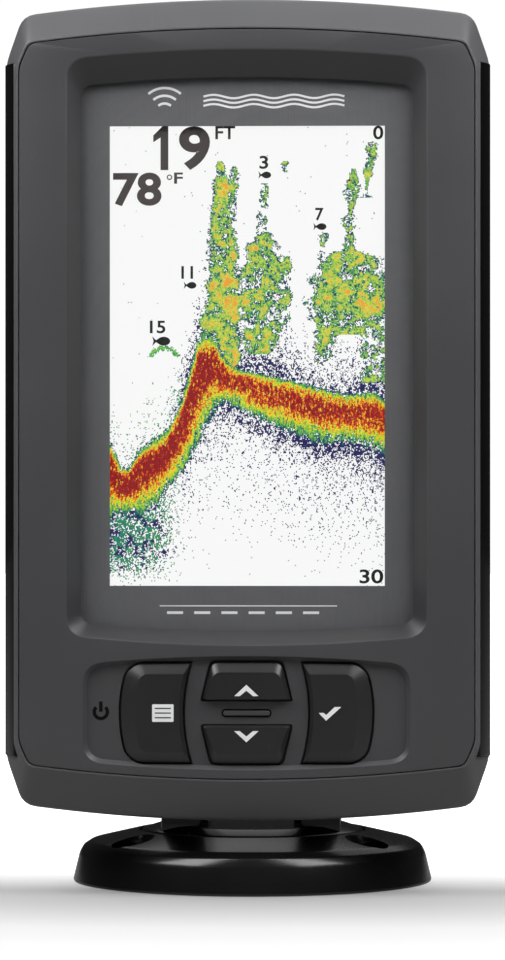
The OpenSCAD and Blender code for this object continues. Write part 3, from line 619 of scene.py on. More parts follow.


# a hollow-looking rubber dome
def makeDome(name, node, x, z):
    turns = [2 * math.pi * i / 48 for i in range(48)]
    profile = [(3.1, -35.4), (3.1, -35.65), (2.5, -35.9), (1.75, -36.6), (1.6, -36.97), (0.9, -36.97), (0.02, -36.9)]
    rings = [[(x + r * math.cos(a), y, z + r * math.sin(a)) for a in turns] for r, y in profile]
    piece = loft(name, softRings(rings, [0, 0.1, 0.2, 0.2, 0.15, 0.1, 0]))
    finishPiece(piece, "head", siliconeGrey, "silicone", node)
    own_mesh(piece)


siliconeGrey = skinMaterial("siliconeGrey", (0.22, 0.22, 0.23), 0.55, 0.5, 0.2)
for name, node, x, z in (("menuDome", "menu_dome", -19.425, 37.8), ("upDome", "up_dome", 0, 44.25),
                         ("downDome", "down_dome", 0, 31.35), ("enterDome", "enter_dome", 19.425, 37.8)):
    makeDome(name, node, x, z)


# a thin flat mark: an outline in X and Z with a depth
def makeMark(name, body, outlines, frontY, depth, material, slot):
    parts = [loft(name, [standUp(o, frontY), standUp(o, frontY + depth)]) for o in outlines]
    deselectAll()
    for part in parts:
        part.select_set(True)
    bpy.context.view_layer.objects.active = parts[0]
    if len(parts) > 1:
        bpy.ops.object.join()
    return finishPiece(parts[0], body, material, slot)


def bar(x0, x1, z0, z1, soft=0.1):
    return softOutline([(x1, z0, soft), (x1, z1, soft), (x0, z1, soft), (x0, z0, soft)], 3)


# a stroke of even width along a line of points
def stroke(points, width):
    half = width / 2
    left, right = [], []
    for i, here in enumerate(points):
        a = Vector(points[max(0, i - 1)])
        b = Vector(points[min(len(points) - 1, i + 1)])
        along = (b - a).normalized()
        across = Vector((-along.y, along.x))
        grow = 1.0
        if 0 < i < len(points) - 1:
            first = (Vector(here) - a).normalized()
            grow = 1 / max(0.5, math.sqrt((1 + first.dot((b - Vector(here)).normalized())) / 2))
        left.append(Vector(here) + across * half * grow)
        right.append(Vector(here) - across * half * grow)
    return right + left[::-1]


def arc(cx, cz, r, start, end, steps=12):
    turns = [math.radians(start + (end - start) * i / steps) for i in range(steps + 1)]
    return [(cx + r * math.cos(a), cz + r * math.sin(a)) for a in turns]


def fishOutline(x0, x1, z0, z1):
    wide, high = x1 - x0, z1 - z0
    nose = [(math.cos(a), math.sin(a)) for a in (math.pi * i / 10 for i in range(11))]
    top = [(x1 - wide * 0.36 + wide * 0.36 * c, z0 + high * 0.5 + high * 0.46 * s) for c, s in nose[:9]]
    tail = [(x0 + wide * 0.20, z0 + high * 0.60), (x0, z1), (x0 + wide * 0.07, z0 + high * 0.5)]
    lower = [(x, 2 * z0 + high - z) for x, z in (top + tail[:2])[::-1]]
    return top + tail + lower[:-1]


markY = keySizes["frontY"] - 0.05
menuX, enterX, middle = -17.1, 17.07, keySizes["centre"]
menuMark = makeMark("menuMark", "menu_key", [bar(menuX - 2.2, menuX + 2.2, middle - 1.8, middle + 1.8, 0.25)],
                    markY, 0.3, markPrint, "key_plastic")
menuMark.parent = None
combine(menuMark, [boxBetween("slot", (menuX - 1.65, -41.5, middle + z - 0.13), (menuX + 1.65, -40, middle + z + 0.13))
                   for z in (-0.95, 0, 0.95)])
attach(menuMark, "menu_key")


# an arrowhead with a notch, pointing up or down
def arrowMark(tip, foot):
    rise = tip - foot
    return [(2.5, foot), (0, tip), (-2.5, foot), (-1.35, foot), (0, foot + rise * 0.48), (1.35, foot)]


makeMark("enterMark", "enter_key", [[
    (enterX - 2.3, middle + 0.1), (enterX - 0.75, middle - 1.5), (enterX + 2.35, middle + 1.3), (enterX + 1.0, middle + 1.3),
    (enterX - 0.75, middle - 0.35), (enterX - 1.25, middle + 0.1)]], markY, 0.3, markPrint, "key_plastic")
makeMark("upMark", "up_key", [arrowMark(43.6, 41.3)], markY, 0.3, markPrint, "key_plastic")
makeMark("downMark", "down_key", [arrowMark(31.85, 34.15)], markY, 0.3, markPrint, "key_plastic")
makeMark("powerMark", "head", [
    stroke(arc(-29.9, 37.95, 1.35, 135, 405, 24), 0.72), bar(-30.26, -29.54, 38.0, 40.1, 0.05)],
    -39.84, 0.1, blackPrintAndGrooveShade, "face_plastic")
# painted shade: a flat black ring on the dish floor round the raised pill stands in for the groove's shade
makeMark("pillGroovePaintedShade", "head", [pillOutline(5.15, 0.85, 37.75)], -39.86, 0.1, blackPrintAndGrooveShade, "face_plastic")

print("stage: rear half")


def rearRing(y, half, bottom, top, cutWide=3.6, cutHigh=13.5, soft=2.6, sagged=True):
    return plateRing(y, half, bottom, top, cutWide, cutHigh, soft)


rearSizes = dict(rearY=-11.5, wallIn=-13.7, slopeTop=52.2, overTop=172.1, ribHigh=1.5, ribs=9)


def makeRearHousing():
    r, h = rearSizes, headSizes
    outer = [
        headRing(h["partY"]),
        plateRing(-24, 49.75, 17.4, 184.35, 3.6, 13.4, 2.6),
        plateRing(-20, 49.2, 28.5, 182.1, 3.6, 12.5, 2.6),
        plateRing(r["rearY"], 42.1, r["slopeTop"], r["overTop"], 3.6, 9, 2.6),
    ]
    inner = [
        plateRing(h["partY"] - 0.5, 47.7, 17.5, 182.3, 3.6, 13.5, 2.4),
        plateRing(-24, 47.5, 19.9, 182.1, 3.6, 13.4, 2.4),
        plateRing(-20, 46.9, 30.6, 179.8, 3.6, 12.5, 2.4),
        plateRing(r["wallIn"], 40.6, 53.6, 169.9, 3.6, 9, 2.4),
    ]
    piece = loft("rearHousing", softRings(outer, [0, 1.4, 3.0, 0]), angle=26)
    applyModifier(piece, "BEVEL", width=1.2 * mm, segments=3, limit_method="ANGLE", angle_limit=math.radians(38))
    combine(piece, [loft("rearInside", inner)])
    lug = rod("lug", (-9.45, 0, 58), (9.45, 0, 58), 9.3, 64)
    root = boxBetween("lugRoot", (-9.45, -14.2, 48.7), (9.45, 0, 67.3))
    combine(lug, [root], "UNION")
    applyModifier(lug, "BEVEL", width=0.6 * mm, segments=2, limit_method="ANGLE", angle_limit=math.radians(50))
    adds = [lug]
    for i in range(r["ribs"]):
        z = 112 + i * 5.4
        adds.append(boxBetween("rib", (-30, -12.2, z), (30, -10.3, z + r["ribHigh"])))
    combine(piece, adds, "UNION")
    cuts = []
    for x in (-39, 39):
        for z in (28.3, 99.9, 171.8):
            seat = {28.3: -19.0, 99.9: -14.9, 171.8: -15.2}[z]
            cuts.append(rod("screwWell", (x, seat - 1.2, z), (x, -9, z), 3.0))
            cuts.append(rod("screwHole", (x, -27, z), (x, -9, z), 1.7))
    for x in (-16, 16):
        cuts.append(rod("socketHole", (x, -15, 92), (x, -9, 92), 8.1, 64))
    cuts.append(rod("studHole", (-11, 0, 58), (11, 0, 58), 3.51, 48))
    combine(piece, cuts)
    makeActive(piece)
    bpy.ops.object.shade_smooth_by_angle(angle=math.radians(26))
    return finishPiece(piece, "head", rearPlastic, "rear_plastic", "rear_housing")


rearHousing = makeRearHousing()

print("stage: mount")
baseSizes = dict(radius=38.3, high=11, turretRadius=23.9, turretTop=12.3, boreRadius=14.1,
                 holeX=25, holeY=18, holeRadius=2.3, wellRadius=4.1)


def makeBase():
    b = baseSizes
    profile = [
        (21.5, 0.25), (21.5, 5), (34.7, 5), (34.7, 0), (38.1, 0), (38.3, 0.35), (36.95, 6.1), (36.1, 7.6),
        (34.4, 8.7), (24.6, 11), (24.2, 10.8), (24.2, 8), (b["boreRadius"], 8), (b["boreRadius"], 4.6),
        (19.1, 4.6), (19.1, 0),
    ]
    soft = [0, 0, 0, 0, 0, 0.2, 0.7, 0.35, 0.5, 0.5, 0, 0, 0, 0, 0, 0]
    piece = loft("mountBase", softRings(turnedRings(profile, 128), soft, closed=True), closed=True, angle=28)
    adds = []
    for i in range(6):
        rib = boxBetween("rib", (-36, -0.8, 0.3), (36, 0.8, 5.2))
        makeActive(rib)
        bpy.ops.transform.rotate(value=math.radians(30 * i), orient_axis="Z", center_override=(0, 0, 0))
        bpy.ops.object.transform_apply(location=True, rotation=True, scale=True)
        adds.append(rib)
    spots = [(x * b["holeX"], y * b["holeY"]) for x in (-1, 1) for y in (-1, 1)]
    adds += [rod("boss", (x, y, 0.3), (x, y, 5.2), 5.7) for x, y in spots]
    combine(piece, adds, "UNION")
    cuts = [rod("bore", (0, 0, -1), (0, 0, 4.55), 19.1, 96)]
    cuts += [rod("hole", (x, y, -1), (x, y, 12), b["holeRadius"], 40) for x, y in spots]
    for x, y in spots:
        well = loft("well", [
            [(x + r * math.cos(a), y + r * math.sin(a), z) for a in (2 * math.pi * i / 48 for i in range(48))]
            for r, z in ((b["wellRadius"], 5), (b["wellRadius"], 9.4), (b["wellRadius"] + 2.2, 12))
        ])
        cuts.append(well)
    combine(piece, cuts)
    makeActive(piece)
    bpy.ops.object.shade_smooth_by_angle(angle=math.radians(28))
    return finishPiece(piece, "base", mountPlastic, "mount_plastic", "mount_base")


def armOutline(shrink=0.0):
    r, foot, top = 9.3 - shrink, 12.5 - shrink, 12.3
    points = [(foot, 9 + shrink), (foot, top + 0.6)]
    points += [(r * math.cos(a), 58 + r * math.sin(a)) for a in (math.pi * i / 32 for i in range(33))]
    return points + [(-foot, top + 0.6), (-foot, 9 + shrink)]


def makeYoke():
    profile = [
        (0.01, 3.65), (14.04, 3.65), (14.04, 8.05), (23.9, 8.05), (23.9, 10.9), (19.6, 12.3), (0.01, 12.3),
    ]
    piece = loft("swivelYoke", softRings(turnedRings(profile, 128), [0, 0, 0, 0.2, 0.9, 0.9, 0]), angle=28)
    arms = []
    for side in (-1, 1):
        rings = []
        for x, shrink in ((10.45, 0.0), (18.95, 0.0)):
            rings.append([(side * x, y, z) for y, z in armOutline(shrink)])
        arm = loft("arm", rings)
        applyModifier(arm, "BEVEL", width=0.7 * mm, segments=3, limit_method="ANGLE", angle_limit=math.radians(60))
        step = boxBetween("footStep", (min(side * 9.05, side * 11.85), -11, 10), (max(side * 9.05, side * 11.85), 11, 13.9))
        applyModifier(step, "BEVEL", width=0.35 * mm, segments=2, limit_method="ANGLE", angle_limit=math.radians(60))
        arms += [arm, step]
    combine(piece, arms, "UNION")
    cuts = [rod("studHole", (-21, 0, 58), (21, 0, 58), 2.75, 40)]
    for turn in (30, 150, 270):
        x, y = 10 * math.cos(math.radians(turn)), 10 * math.sin(math.radians(turn))
        cuts.append(rod("pilot", (x, y, 3), (x, y, 9.6), 1.5, 24))
    combine(piece, cuts)
    makeActive(piece)
    bpy.ops.object.shade_smooth_by_angle(angle=math.radians(28))
    return finishPiece(piece, "yoke", mountPlastic, "mount_plastic", "swivel_yoke")


knobSizes = dict(start=19.12, neck=2.6, end=29.95, radius=9.25, lobes=9, lobeDepth=1.15, dish=0.9)


def makeKnob(name, body, node, side):
    k = knobSizes
    count = 162

    def lobed(x, radius, depth):
        ring = []
        for i in range(count):
            a = 2 * math.pi * i / count
            wave = max(0.0, math.cos(a * k["lobes"])) ** 3
            r = radius - depth * wave
            ring.append((side * x, r * math.cos(a), 58 + r * math.sin(a)))
        return ring
    s, e, r, d = k["start"], k["end"], k["radius"], k["lobeDepth"]
    rings = [
        lobed(s, r - 2.9, 0), lobed(s, r - 2.4, 0), lobed(s + k["neck"], r - 2.4, 0), lobed(s + k["neck"], r - 0.5, d),
        lobed(s + k["neck"] + 0.5, r, d), lobed(e - 1.1, r - 0.25, d), lobed(e, r - 1.5, d * 0.5),
        lobed(e, r - 4.0, 0), lobed(e - k["dish"], r - 4.6, 0), lobed(e - k["dish"] - 0.05, 0.05, 0),
    ]
    piece = loft(name, softRings(rings, [0, 0, 0.3, 0.3, 0.3, 0.8, 0.4, 0.3, 0.4, 0]), angle=32)
    combine(piece, [rod("studHole", (side * (s - 1), 0, 58), (side * (e - 3), 0, 58), 2.5, 40)])
    makeActive(piece)
    bpy.ops.object.shade_smooth_by_angle(angle=math.radians(32))
    return finishPiece(piece, body, knobPlastic, "knob_plastic", node)


mountBase = makeBase()
swivelYoke = makeYoke()
makeKnob("leftKnob", "left_knob", "left_knob", -1)
makeKnob("rightKnob", "right_knob", "right_knob", 1)

print("stage: screen")
screenSizes = dict(halfWidth=28.3, bottom=63.73, top=158.33, pitch=0.2, frontY=-34.9)


def screenMaterial():
    material, tree, shader = newMaterial("sonarScreen")
    separate = newNode(tree, "ShaderNodeSeparateXYZ")
    tree.links.new(newNode(tree, "ShaderNodeTexCoord").outputs["Object"], separate.inputs[0])

    def m(operation, a, b=None, clamp=False):
        return mathNode(tree, operation, a, b, clamp)

    def snapped(value):
        cell = m("FLOOR", m("DIVIDE", m("MULTIPLY", value, 1000), screenSizes["pitch"]))
        return m("MULTIPLY", cell, screenSizes["pitch"])

    x, z = snapped(separate.outputs[0]), snapped(separate.outputs[2])

    def vector(a, b):
        joined = newNode(tree, "ShaderNodeCombineXYZ")
        for socket, value in zip(joined.inputs, (a, b, 0.5)):
            if isinstance(value, (int, float)):
                socket.default_value = value
            else:
                tree.links.new(value, socket)
        return joined.outputs[0]

    z = m("ADD", m("MULTIPLY", m("SUBTRACT", z, 66), 0.9932), 66)    # the picture stands a little taller
    place = vector(x, z)
    white = newNode(tree, "ShaderNodeTexWhiteNoise", noise_dimensions="2D")
    tree.links.new(place, white.inputs["Vector"])
    speck = white.outputs["Value"]
    streak = noiseNode(tree, vector(m("MULTIPLY", x, 3.4), m("MULTIPLY", z, 0.75)), 1.0, 3, 0.8)
    clump = noiseNode(tree, place, 0.62, 3, 0.65)
    fleck = noiseNode(tree, vector(m("MULTIPLY", x, 2.3), m("MULTIPLY", m("ADD", z, 40), 1.45)), 1.0, 3, 0.8)
    lump = noiseNode(tree, place, 0.26, 2, 0.5)

    # a curve of values over a range, as points
    def curve(value, points, low=None, high=None):
        low = points[0][0] if low is None else low
        high = points[-1][0] if high is None else high
        node = newNode(tree, "ShaderNodeFloatCurve")
        line = node.mapping.curves[0]
        base = min(v for p, v in points)
        size = max(v for p, v in points) - base or 1
        spots = [((p - low) / (high - low), (v - base) / size) for p, v in points]
        line.points[0].location, line.points[-1].location = spots[0], spots[-1]
        for spot in spots[1:-1]:
            line.points.new(*spot)
        for point in line.points:
            point.handle_type = "AUTO_CLAMPED"
        node.mapping.update()
        tree.links.new(m("DIVIDE", m("SUBTRACT", value, low), high - low), node.inputs["Value"])
        return m("ADD", m("MULTIPLY", node.outputs[0], size), base)

    def ramp(value, stops, interpolation="LINEAR"):
        node = newNode(tree, "ShaderNodeValToRGB")
        node.color_ramp.interpolation = interpolation
        elements = node.color_ramp.elements
        while len(elements) < len(stops):
            elements.new(0.5)
        for element, (position, colour) in zip(elements, stops):
            element.position = position
            element.color = (*[(c / 255) ** 2.2 for c in colour], 1)
        tree.links.new(value, node.inputs[0])
        return node.outputs[0]

    darkRed, redOrange, orange, yellow = (142, 14, 22), (212, 66, 22), (238, 140, 30), (240, 228, 50)
    green, teal, navy = (112, 190, 62), (24, 125, 108), (34, 34, 92)
    paper = tuple((c / 255) ** 2.2 for c in (253, 254, 253))
    ink = tuple((c / 255) ** 2.2 for c in navy)

    # the hard bottom lies between two lines, strongest a third of the way down
    upper = curve(x, [
        (-28.4, 92.0), (-27.2, 89.6), (-25.3, 86.9), (-23.0, 89.6), (-20.5, 91.6), (-17.3, 93.8), (-14.7, 98.0), (-12.8, 103.0),
        (-10.9, 109.6), (-9.6, 113.0), (-7.7, 113.6), (-5.5, 110.6), (-3.2, 108.4), (1.9, 107.0), (8.3, 105.4), (14.7, 103.8),
        (21.1, 102.6), (24.9, 103.0), (28.4, 101.0),
    ])
    lower = curve(x, [
        (-28.4, 79.7), (-23.7, 79.9), (-19.9, 81.8), (-16.1, 85.9), (-13.5, 89.4), (-10.9, 94.6), (-8.0, 99.6), (-5.8, 101.6),
        (-2.6, 100.4), (1.9, 98.1), (8.3, 95.8), (14.7, 93.6), (21.1, 93.2), (28.4, 91.2),
    ])
    under = m("SUBTRACT", lower, z)
    over = m("SUBTRACT", z, upper)
    depth = m("DIVIDE", m("SUBTRACT", upper, z), m("SUBTRACT", upper, lower))
    echo = curve(depth, [
        (-0.2, 0.0), (-0.06, 0.20), (0.0, 0.34), (0.07, 0.58), (0.17, 0.80), (0.35, 0.97), (0.5, 0.92), (0.66, 0.74), (0.8, 0.56),
        (0.92, 0.40), (1.02, 0.28), (1.12, 0.16), (1.3, 0.0),
    ])
    echo = m("ADD", echo, curve(x, [(-28.4, 0.07), (-14, 0.11), (-7, 0.05), (0, -0.10), (12, -0.06), (22, -0.10), (28.4, -0.07)]))
    ragged = m("ADD", m("MULTIPLY", m("SUBTRACT", streak, 0.5), 2.3), m("MULTIPLY", m("SUBTRACT", fleck, 0.5), 1.7))
    echo = m("ADD", echo, m("MULTIPLY", ragged, m("ADD", 0.25, m("MULTIPLY", echo, 0.75))))
    inBand = m("MULTIPLY", m("GREATER_THAN", echo, 0.17), m("MULTIPLY", m("GREATER_THAN", depth, -0.16), m("LESS_THAN", depth, 1.22)))
    echoColour = ramp(echo, [
        (0.0, navy), (0.20, navy), (0.25, teal), (0.36, green), (0.46, (190, 215, 50)), (0.54, yellow), (0.64, orange), (0.76, redOrange),
        (0.88, darkRed),
    ])

    # weed beds: a centre line and a half width over height, kept as a strength
    beds = [
        ([(104, -5.4), (128, -5.2), (150, -5.7)], [(104, 4.4), (112, 4.4), (122, 4.2), (132, 3.3), (140, 2.4), (148, 1.4), (150.5, 0.5)], 1.0),
        ([(138, -3.2), (149.5, -2.8)], [(138, 1.3), (143, 1.0), (147, 1.3), (149.5, 0.5)], 0.70),
        ([(135, 2.8), (146, 3.4)], [(135, 1.6), (138, 1.3), (141, 1.1), (146, 0.9)], 0.62),
        ([(111, 3.0), (136, 3.2)], [(111, 3.0), (114, 4.6), (122, 5.4), (130, 4.6), (134, 3.0), (136, 1.8)], 0.84),
        ([(120, 7.0), (131, 8.0)], [(120, 1.6), (126, 2.0), (131, 0.8)], 0.70),
        ([(115, 21.2), (132, 21.0)], [(115, 5.0), (118, 8.2), (123, 9.2), (127, 8.4), (130, 7.0), (132, 3.0)], 0.92),
        ([(109, 15.2), (117, 16.2)], [(109, 1.0), (112, 2.6), (117, 2.4)], 0.74),
        ([(105, 26.4), (118, 26.0)], [(105, 3.0), (112, 3.4), (118, 3.0)], 0.68),
        ([(131, 20.6), (149, 21.8)], [(131, 1.9), (134, 1.5), (136, 0.9), (138, 2.1), (140.5, 0.6), (144, 2.0), (146, 1.3), (149, 0.5)], 0.80),
        ([(143, 24.2), (154.4, 25.6)], [(143, 1.4), (145.5, 0.4), (148, 1.0), (151, 1.2), (153.4, 1.4), (154.4, 0.5)], 0.74),
        ([(128, 15.0), (136, 15.6)], [(128, 2.0), (131, 1.2), (133, 0.5), (135, 1.1), (136, 0.3)], 0.60),
        ([(148.2, 7.8), (150.6, 7.8)], [(148.2, 0.5), (149.4, 1.1), (150.6, 0.4)], 0.55),
    ]
    strength = None
    for centres, widths, power in beds:
        centre = curve(z, centres)
        width = m("MAXIMUM", curve(z, widths), 0.001)
        off = m("DIVIDE", m("ABSOLUTE", m("SUBTRACT", x, centre)), width)
        inside = m("MULTIPLY", m("GREATER_THAN", z, widths[0][0]), m("LESS_THAN", z, widths[-1][0]))
        one = m("MULTIPLY", m("MULTIPLY", m("MULTIPLY", m("SUBTRACT", 1.12, off, True), 1.9, True), inside), power)
        strength = one if strength is None else m("MAXIMUM", strength, one)
    rough = m("ADD", m("MULTIPLY", m("SUBTRACT", clump, 0.5), 1.5), m("MULTIPLY", m("SUBTRACT", fleck, 0.5), 1.5))
    rough = m("ADD", rough, m("MULTIPLY", m("SUBTRACT", lump, 0.5), 1.1))
    bed = m("ADD", m("MULTIPLY", strength, 0.60), m("ADD", rough, m("MULTIPLY", m("SUBTRACT", speck, 0.5), 0.16)))
    bedColour = ramp(bed, [
        (0.0, navy), (0.37, navy), (0.42, teal), (0.50, (116, 184, 78)), (0.66, (168, 208, 84)), (0.76, (226, 220, 76)), (0.90, (240, 160, 60)),
    ])
    bedMask = m("MULTIPLY", m("GREATER_THAN", bed, 0.28), m("GREATER_THAN", strength, 0.04))
    bedMask = m("MULTIPLY", bedMask, m("GREATER_THAN", over, -1))

    # loose flecks: how likely they are above the bottom, below it and in the deep left corner
    above = curve(over, [(0, 0.53), (2.5, 0.50), (5, 0.40), (9, 0.28), (14, 0.0)])
    above = m("MULTIPLY", above, curve(x, [(-28.4, 0.55), (-18, 0.62), (-10, 1.0), (6, 1.0), (14, 0.8), (22, 0.9), (28.4, 1.0)]))
    below = curve(under, [(0, 0.60), (2, 0.54), (4, 0.40), (8, 0.30), (16, 0.22), (26, 0.10), (30, 0.0)])
    below = m("MULTIPLY", below, curve(x, [(-28.4, 0.75), (-12, 0.85), (-4, 0.95), (0, 0.85), (10, 1.0), (28.4, 1.05)]))
    cornerX = curve(x, [(-28.4, 0.60), (-20, 0.52), (-16, 0.36), (-12, 0.0)], -28.4, 28.4)
    cornerZ = curve(z, [(64, 0.2), (67, 0.72), (72, 1.0), (80, 1.0)], 64, 80)
    corner = m("MULTIPLY", m("MULTIPLY", cornerX, cornerZ), m("MULTIPLY", m("GREATER_THAN", z, 64.2), m("LESS_THAN", x, -12)))
    likely = m("ADD", m("MULTIPLY", above, m("MULTIPLY", m("GREATER_THAN", over, 0), m("LESS_THAN", over, 14))),
               m("MULTIPLY", m("MAXIMUM", below, corner), m("MULTIPLY", m("GREATER_THAN", under, 0), m("LESS_THAN", under, 30))))
    shown = m("ADD", m("MULTIPLY", fleck, 0.88), m("MULTIPLY", speck, 0.12))
    flecks = m("GREATER_THAN", m("ADD", shown, m("MULTIPLY", likely, 0.44)), 0.70)
    fleckColour = mixColour(tree, m("MULTIPLY", m("GREATER_THAN", corner, 0.2), m("GREATER_THAN", clump, 0.47)), ink,
                            ramp(fleck, [(0.40, (20, 96, 96)), (0.52, teal), (0.62, (60, 155, 84)), (0.72, (150, 200, 70))]))
    colour = mixColour(tree, flecks, paper, fleckColour)
    colour = mixColour(tree, bedMask, colour, bedColour)
    colour = mixColour(tree, inBand, colour, echoColour)

    # the green echo under the largest fish
    archX, archZ = m("DIVIDE", m("ADD", x, 17.3), 3.1), m("DIVIDE", m("SUBTRACT", z, 109.9), 2.7)
    radius = m("SQRT", m("ADD", m("MULTIPLY", archX, archX), m("MULTIPLY", archZ, archZ)))
    off = m("ADD", m("ABSOLUTE", m("SUBTRACT", radius, 0.9)), m("MULTIPLY", m("SUBTRACT", fleck, 0.5), 0.9))
    arch = m("MULTIPLY", m("LESS_THAN", off, 0.16), m("GREATER_THAN", archZ, 0.15))
    colour = mixColour(tree, arch, colour, ramp(m("MULTIPLY", off, 4), [(0.0, (120, 200, 70)), (0.5, (40, 150, 90)), (0.8, navy)]))

    # each picture element's dark edges, very faint
    cellX = m("FRACT", m("DIVIDE", m("MULTIPLY", separate.outputs[0], 1000), screenSizes["pitch"]))
    cellZ = m("FRACT", m("DIVIDE", m("MULTIPLY", separate.outputs[2], 1000), screenSizes["pitch"]))
    lit = m("MULTIPLY", m("GREATER_THAN", cellX, 0.06), m("GREATER_THAN", cellZ, 0.06))
    colour = mixColour(tree, m("SUBTRACT", 1, m("ADD", m("MULTIPLY", lit, 0.05), 0.95)), colour, (0, 0, 0))
    tree.links.new(colour, shader.inputs["Emission Color"])
    shader.inputs["Emission Strength"].default_value = 1.08
    shader.inputs["Base Color"].default_value = (0.01, 0.01, 0.01, 1)
    shader.inputs["Roughness"].default_value = 0.45
    return material


screenLit = screenMaterial()
inkDark = skinMaterial("readoutInk", (0.060, 0.050, 0.047), 0.7, 0.2, 0.05, shadeChange=0.05, scuffs=0, dust=0)
inkBlack = skinMaterial("readoutBlack", (0.006, 0.006, 0.006), 0.7, 0.2, 0.05, shadeChange=0.05, scuffs=0, dust=0)


def taller(z):
    return 66 + (z - 66) * 1.0045


# a number drawn as a thin solid and fitted between x0..x1 and z0..z1
def readout(name, words, x0, x1, z0, z1, material, thick=0.0, frontY=-34.95, depth=0.06):
    deselectAll()
    bpy.ops.object.text_add(location=(0, 0, 0))
    text = bpy.context.object
    text.data.body = words
    text.data.offset = thick
    text.data.resolution_u = 6
    text.data.extrude = 0.05
    bpy.ops.object.convert(target="MESH")
    piece = bpy.context.object
    piece.name = piece.data.name = name
    bpy.ops.object.mode_set(mode="EDIT")
    bpy.ops.mesh.select_all(action="SELECT")
    bpy.ops.mesh.remove_doubles(threshold=0.0001)
    mesh = bmesh.from_edit_mesh(piece.data)
    xs, ys, zs = ([v.co[i] for v in mesh.verts] for i in range(3))
    for vert in mesh.verts:
        u = (vert.co.x - min(xs)) / (max(xs) - min(xs))
        v = (vert.co.y - min(ys)) / (max(ys) - min(ys))
        w = (max(zs) - vert.co.z) / (max(zs) - min(zs))
        vert.co = Vector((x0 + (x1 - x0) * u, frontY + depth * w, taller(z0 + (z1 - z0) * v))) * mm
    bmesh.update_edit_mesh(piece.data)
    bpy.ops.mesh.normals_make_consistent(inside=False)
    bpy.ops.object.mode_set(mode="OBJECT")
    return finishPiece(piece, "head", material, "screen")


for name, words, x0, x1, z0, z1, material, thick in (
    ("depthUnits", "9", -14.1, -7.7, 149.0, 158.0, inkDark, 0.03),
    ("depthUnit", "FT", -6.6, -2.5, 155.3, 158.0, inkDark, 0.02),
    ("scaleTop", "0", 25.9, 28.0, 155.2, 158.0, inkBlack, 0.02),
    ("scaleEnd", "30", 23.1, 28.0, 64.2, 67.1, inkBlack, 0.02),
    ("warmth", "78", -27.7, -17.7, 141.6, 148.5, inkDark, 0.03),
    ("warmthUnit", "F", -15.1, -13.3, 146.2, 148.5, inkDark, 0.02),
    ("fishDepthA", "3", 2.5, 4.3, 149.2, 151.9, inkBlack, 0.02),
    ("fishDepthB", "7", 14.0, 15.7, 138.6, 141.2, inkBlack, 0.02),
    ("fishDepthC", "11", -13.6, -11.2, 126.7, 129.3, inkBlack, 0.02),
    ("fishDepthD", "15", -20.1, -16.9, 115.5, 118.1, inkBlack, 0.02),
):
    readout(name, words, x0, x1, z0, z1, material, thick)
fishes = [(2.3, 4.9, 147.2, 148.7), (13.6, 16.3, 136.6, 138.1), (-13.1, -10.5, 124.6, 126.1), (-19.6, -15.9, 112.9, 114.9)]
tens = [(-16.3, 149), (-16.3, 158), (-17.5, 158), (-19.4, 156.1), (-19.4, 154.7), (-17.9, 155.7), (-17.9, 149)]
makeMark("depthTens", "head", [[(x, taller(z)) for x, z in tens]], -34.95, 0.06, inkDark, "screen")
fishes = [(x0, x1, taller(z0), taller(z1)) for x0, x1, z0, z1 in fishes]
makeMark("fishMarks", "head", [fishOutline(*spot) for spot in fishes], -34.95, 0.06, inkBlack, "screen")
makeMark("degreeMark", "head", [stroke(arc(-16.05, 147.9, 0.45, 0, 359, 20), 0.24)], -34.95, 0.06, inkDark, "screen")

print("stage: printed marks")
waves = []
for step, reach in enumerate((2.0, 3.6, 5.2)):
    waves.append(stroke(arc(-17.0, 163.4 - 2.4, reach, 50, 130, 12), 0.5))
for i in range(3):
    crest = [(-9 + 29 * t / 40, 162.5 + i * 0.95 + 0.36 * math.sin(t / 40 * math.pi * 7)) for t in range(41)]
    waves.append(stroke(crest, 0.42))
makeMark("printedWaves", "head", waves, -36.02, 0.08, markPrint, "mask_print")
lower = [stroke([(-16.5 + i * 5.6, 58.2), (-13.2 + i * 5.6, 58.2)], 0.55) for i in range(6)]
lower += [stroke([(-18 + 36.5 * t / 24, 59.6) for t in range(25)], 0.22)]
makeMark("printedLine", "head", lower, -36.02, 0.08, markPrint, "mask_print")
print("stage: finishes of the inner parts")


# copper tracks and solder dots under a lacquer, for the boards
def boardMaterial():
    material, tree, shader = newMaterial("boardGreen")
    place = newNode(tree, "ShaderNodeTexCoord").outputs["Object"]
    brick = newNode(tree, "ShaderNodeTexBrick")
    brick.inputs["Scale"].default_value = 260
    brick.inputs["Mortar Size"].default_value = 0.09
    turned = newNode(tree, "ShaderNodeMapping")
    turned.inputs["Rotation"].default_value = (math.pi / 2, 0, 0)
    tree.links.new(place, turned.inputs["Vector"])
    tree.links.new(turned.outputs[0], brick.inputs["Vector"])
    cells = newNode(tree, "ShaderNodeTexVoronoi")
    cells.inputs["Scale"].default_value = 420
    tree.links.new(place, cells.inputs["Vector"])
    dots = mathNode(tree, "LESS_THAN", cells.outputs["Distance"], 0.16)
    tracks = mixColour(tree, brick.outputs["Fac"], (0.010, 0.085, 0.040), (0.022, 0.150, 0.070))
    shade = mixColour(tree, noiseNode(tree, place, 90), tracks, (0.008, 0.070, 0.034))
    tree.links.new(mixColour(tree, dots, shade, (0.62, 0.60, 0.55)), shader.inputs["Base Color"])
    tree.links.new(dots, shader.inputs["Metallic"])
    shader.inputs["Roughness"].default_value = 0.35
    shader.inputs["Coat Weight"].default_value = 0.4
    return material


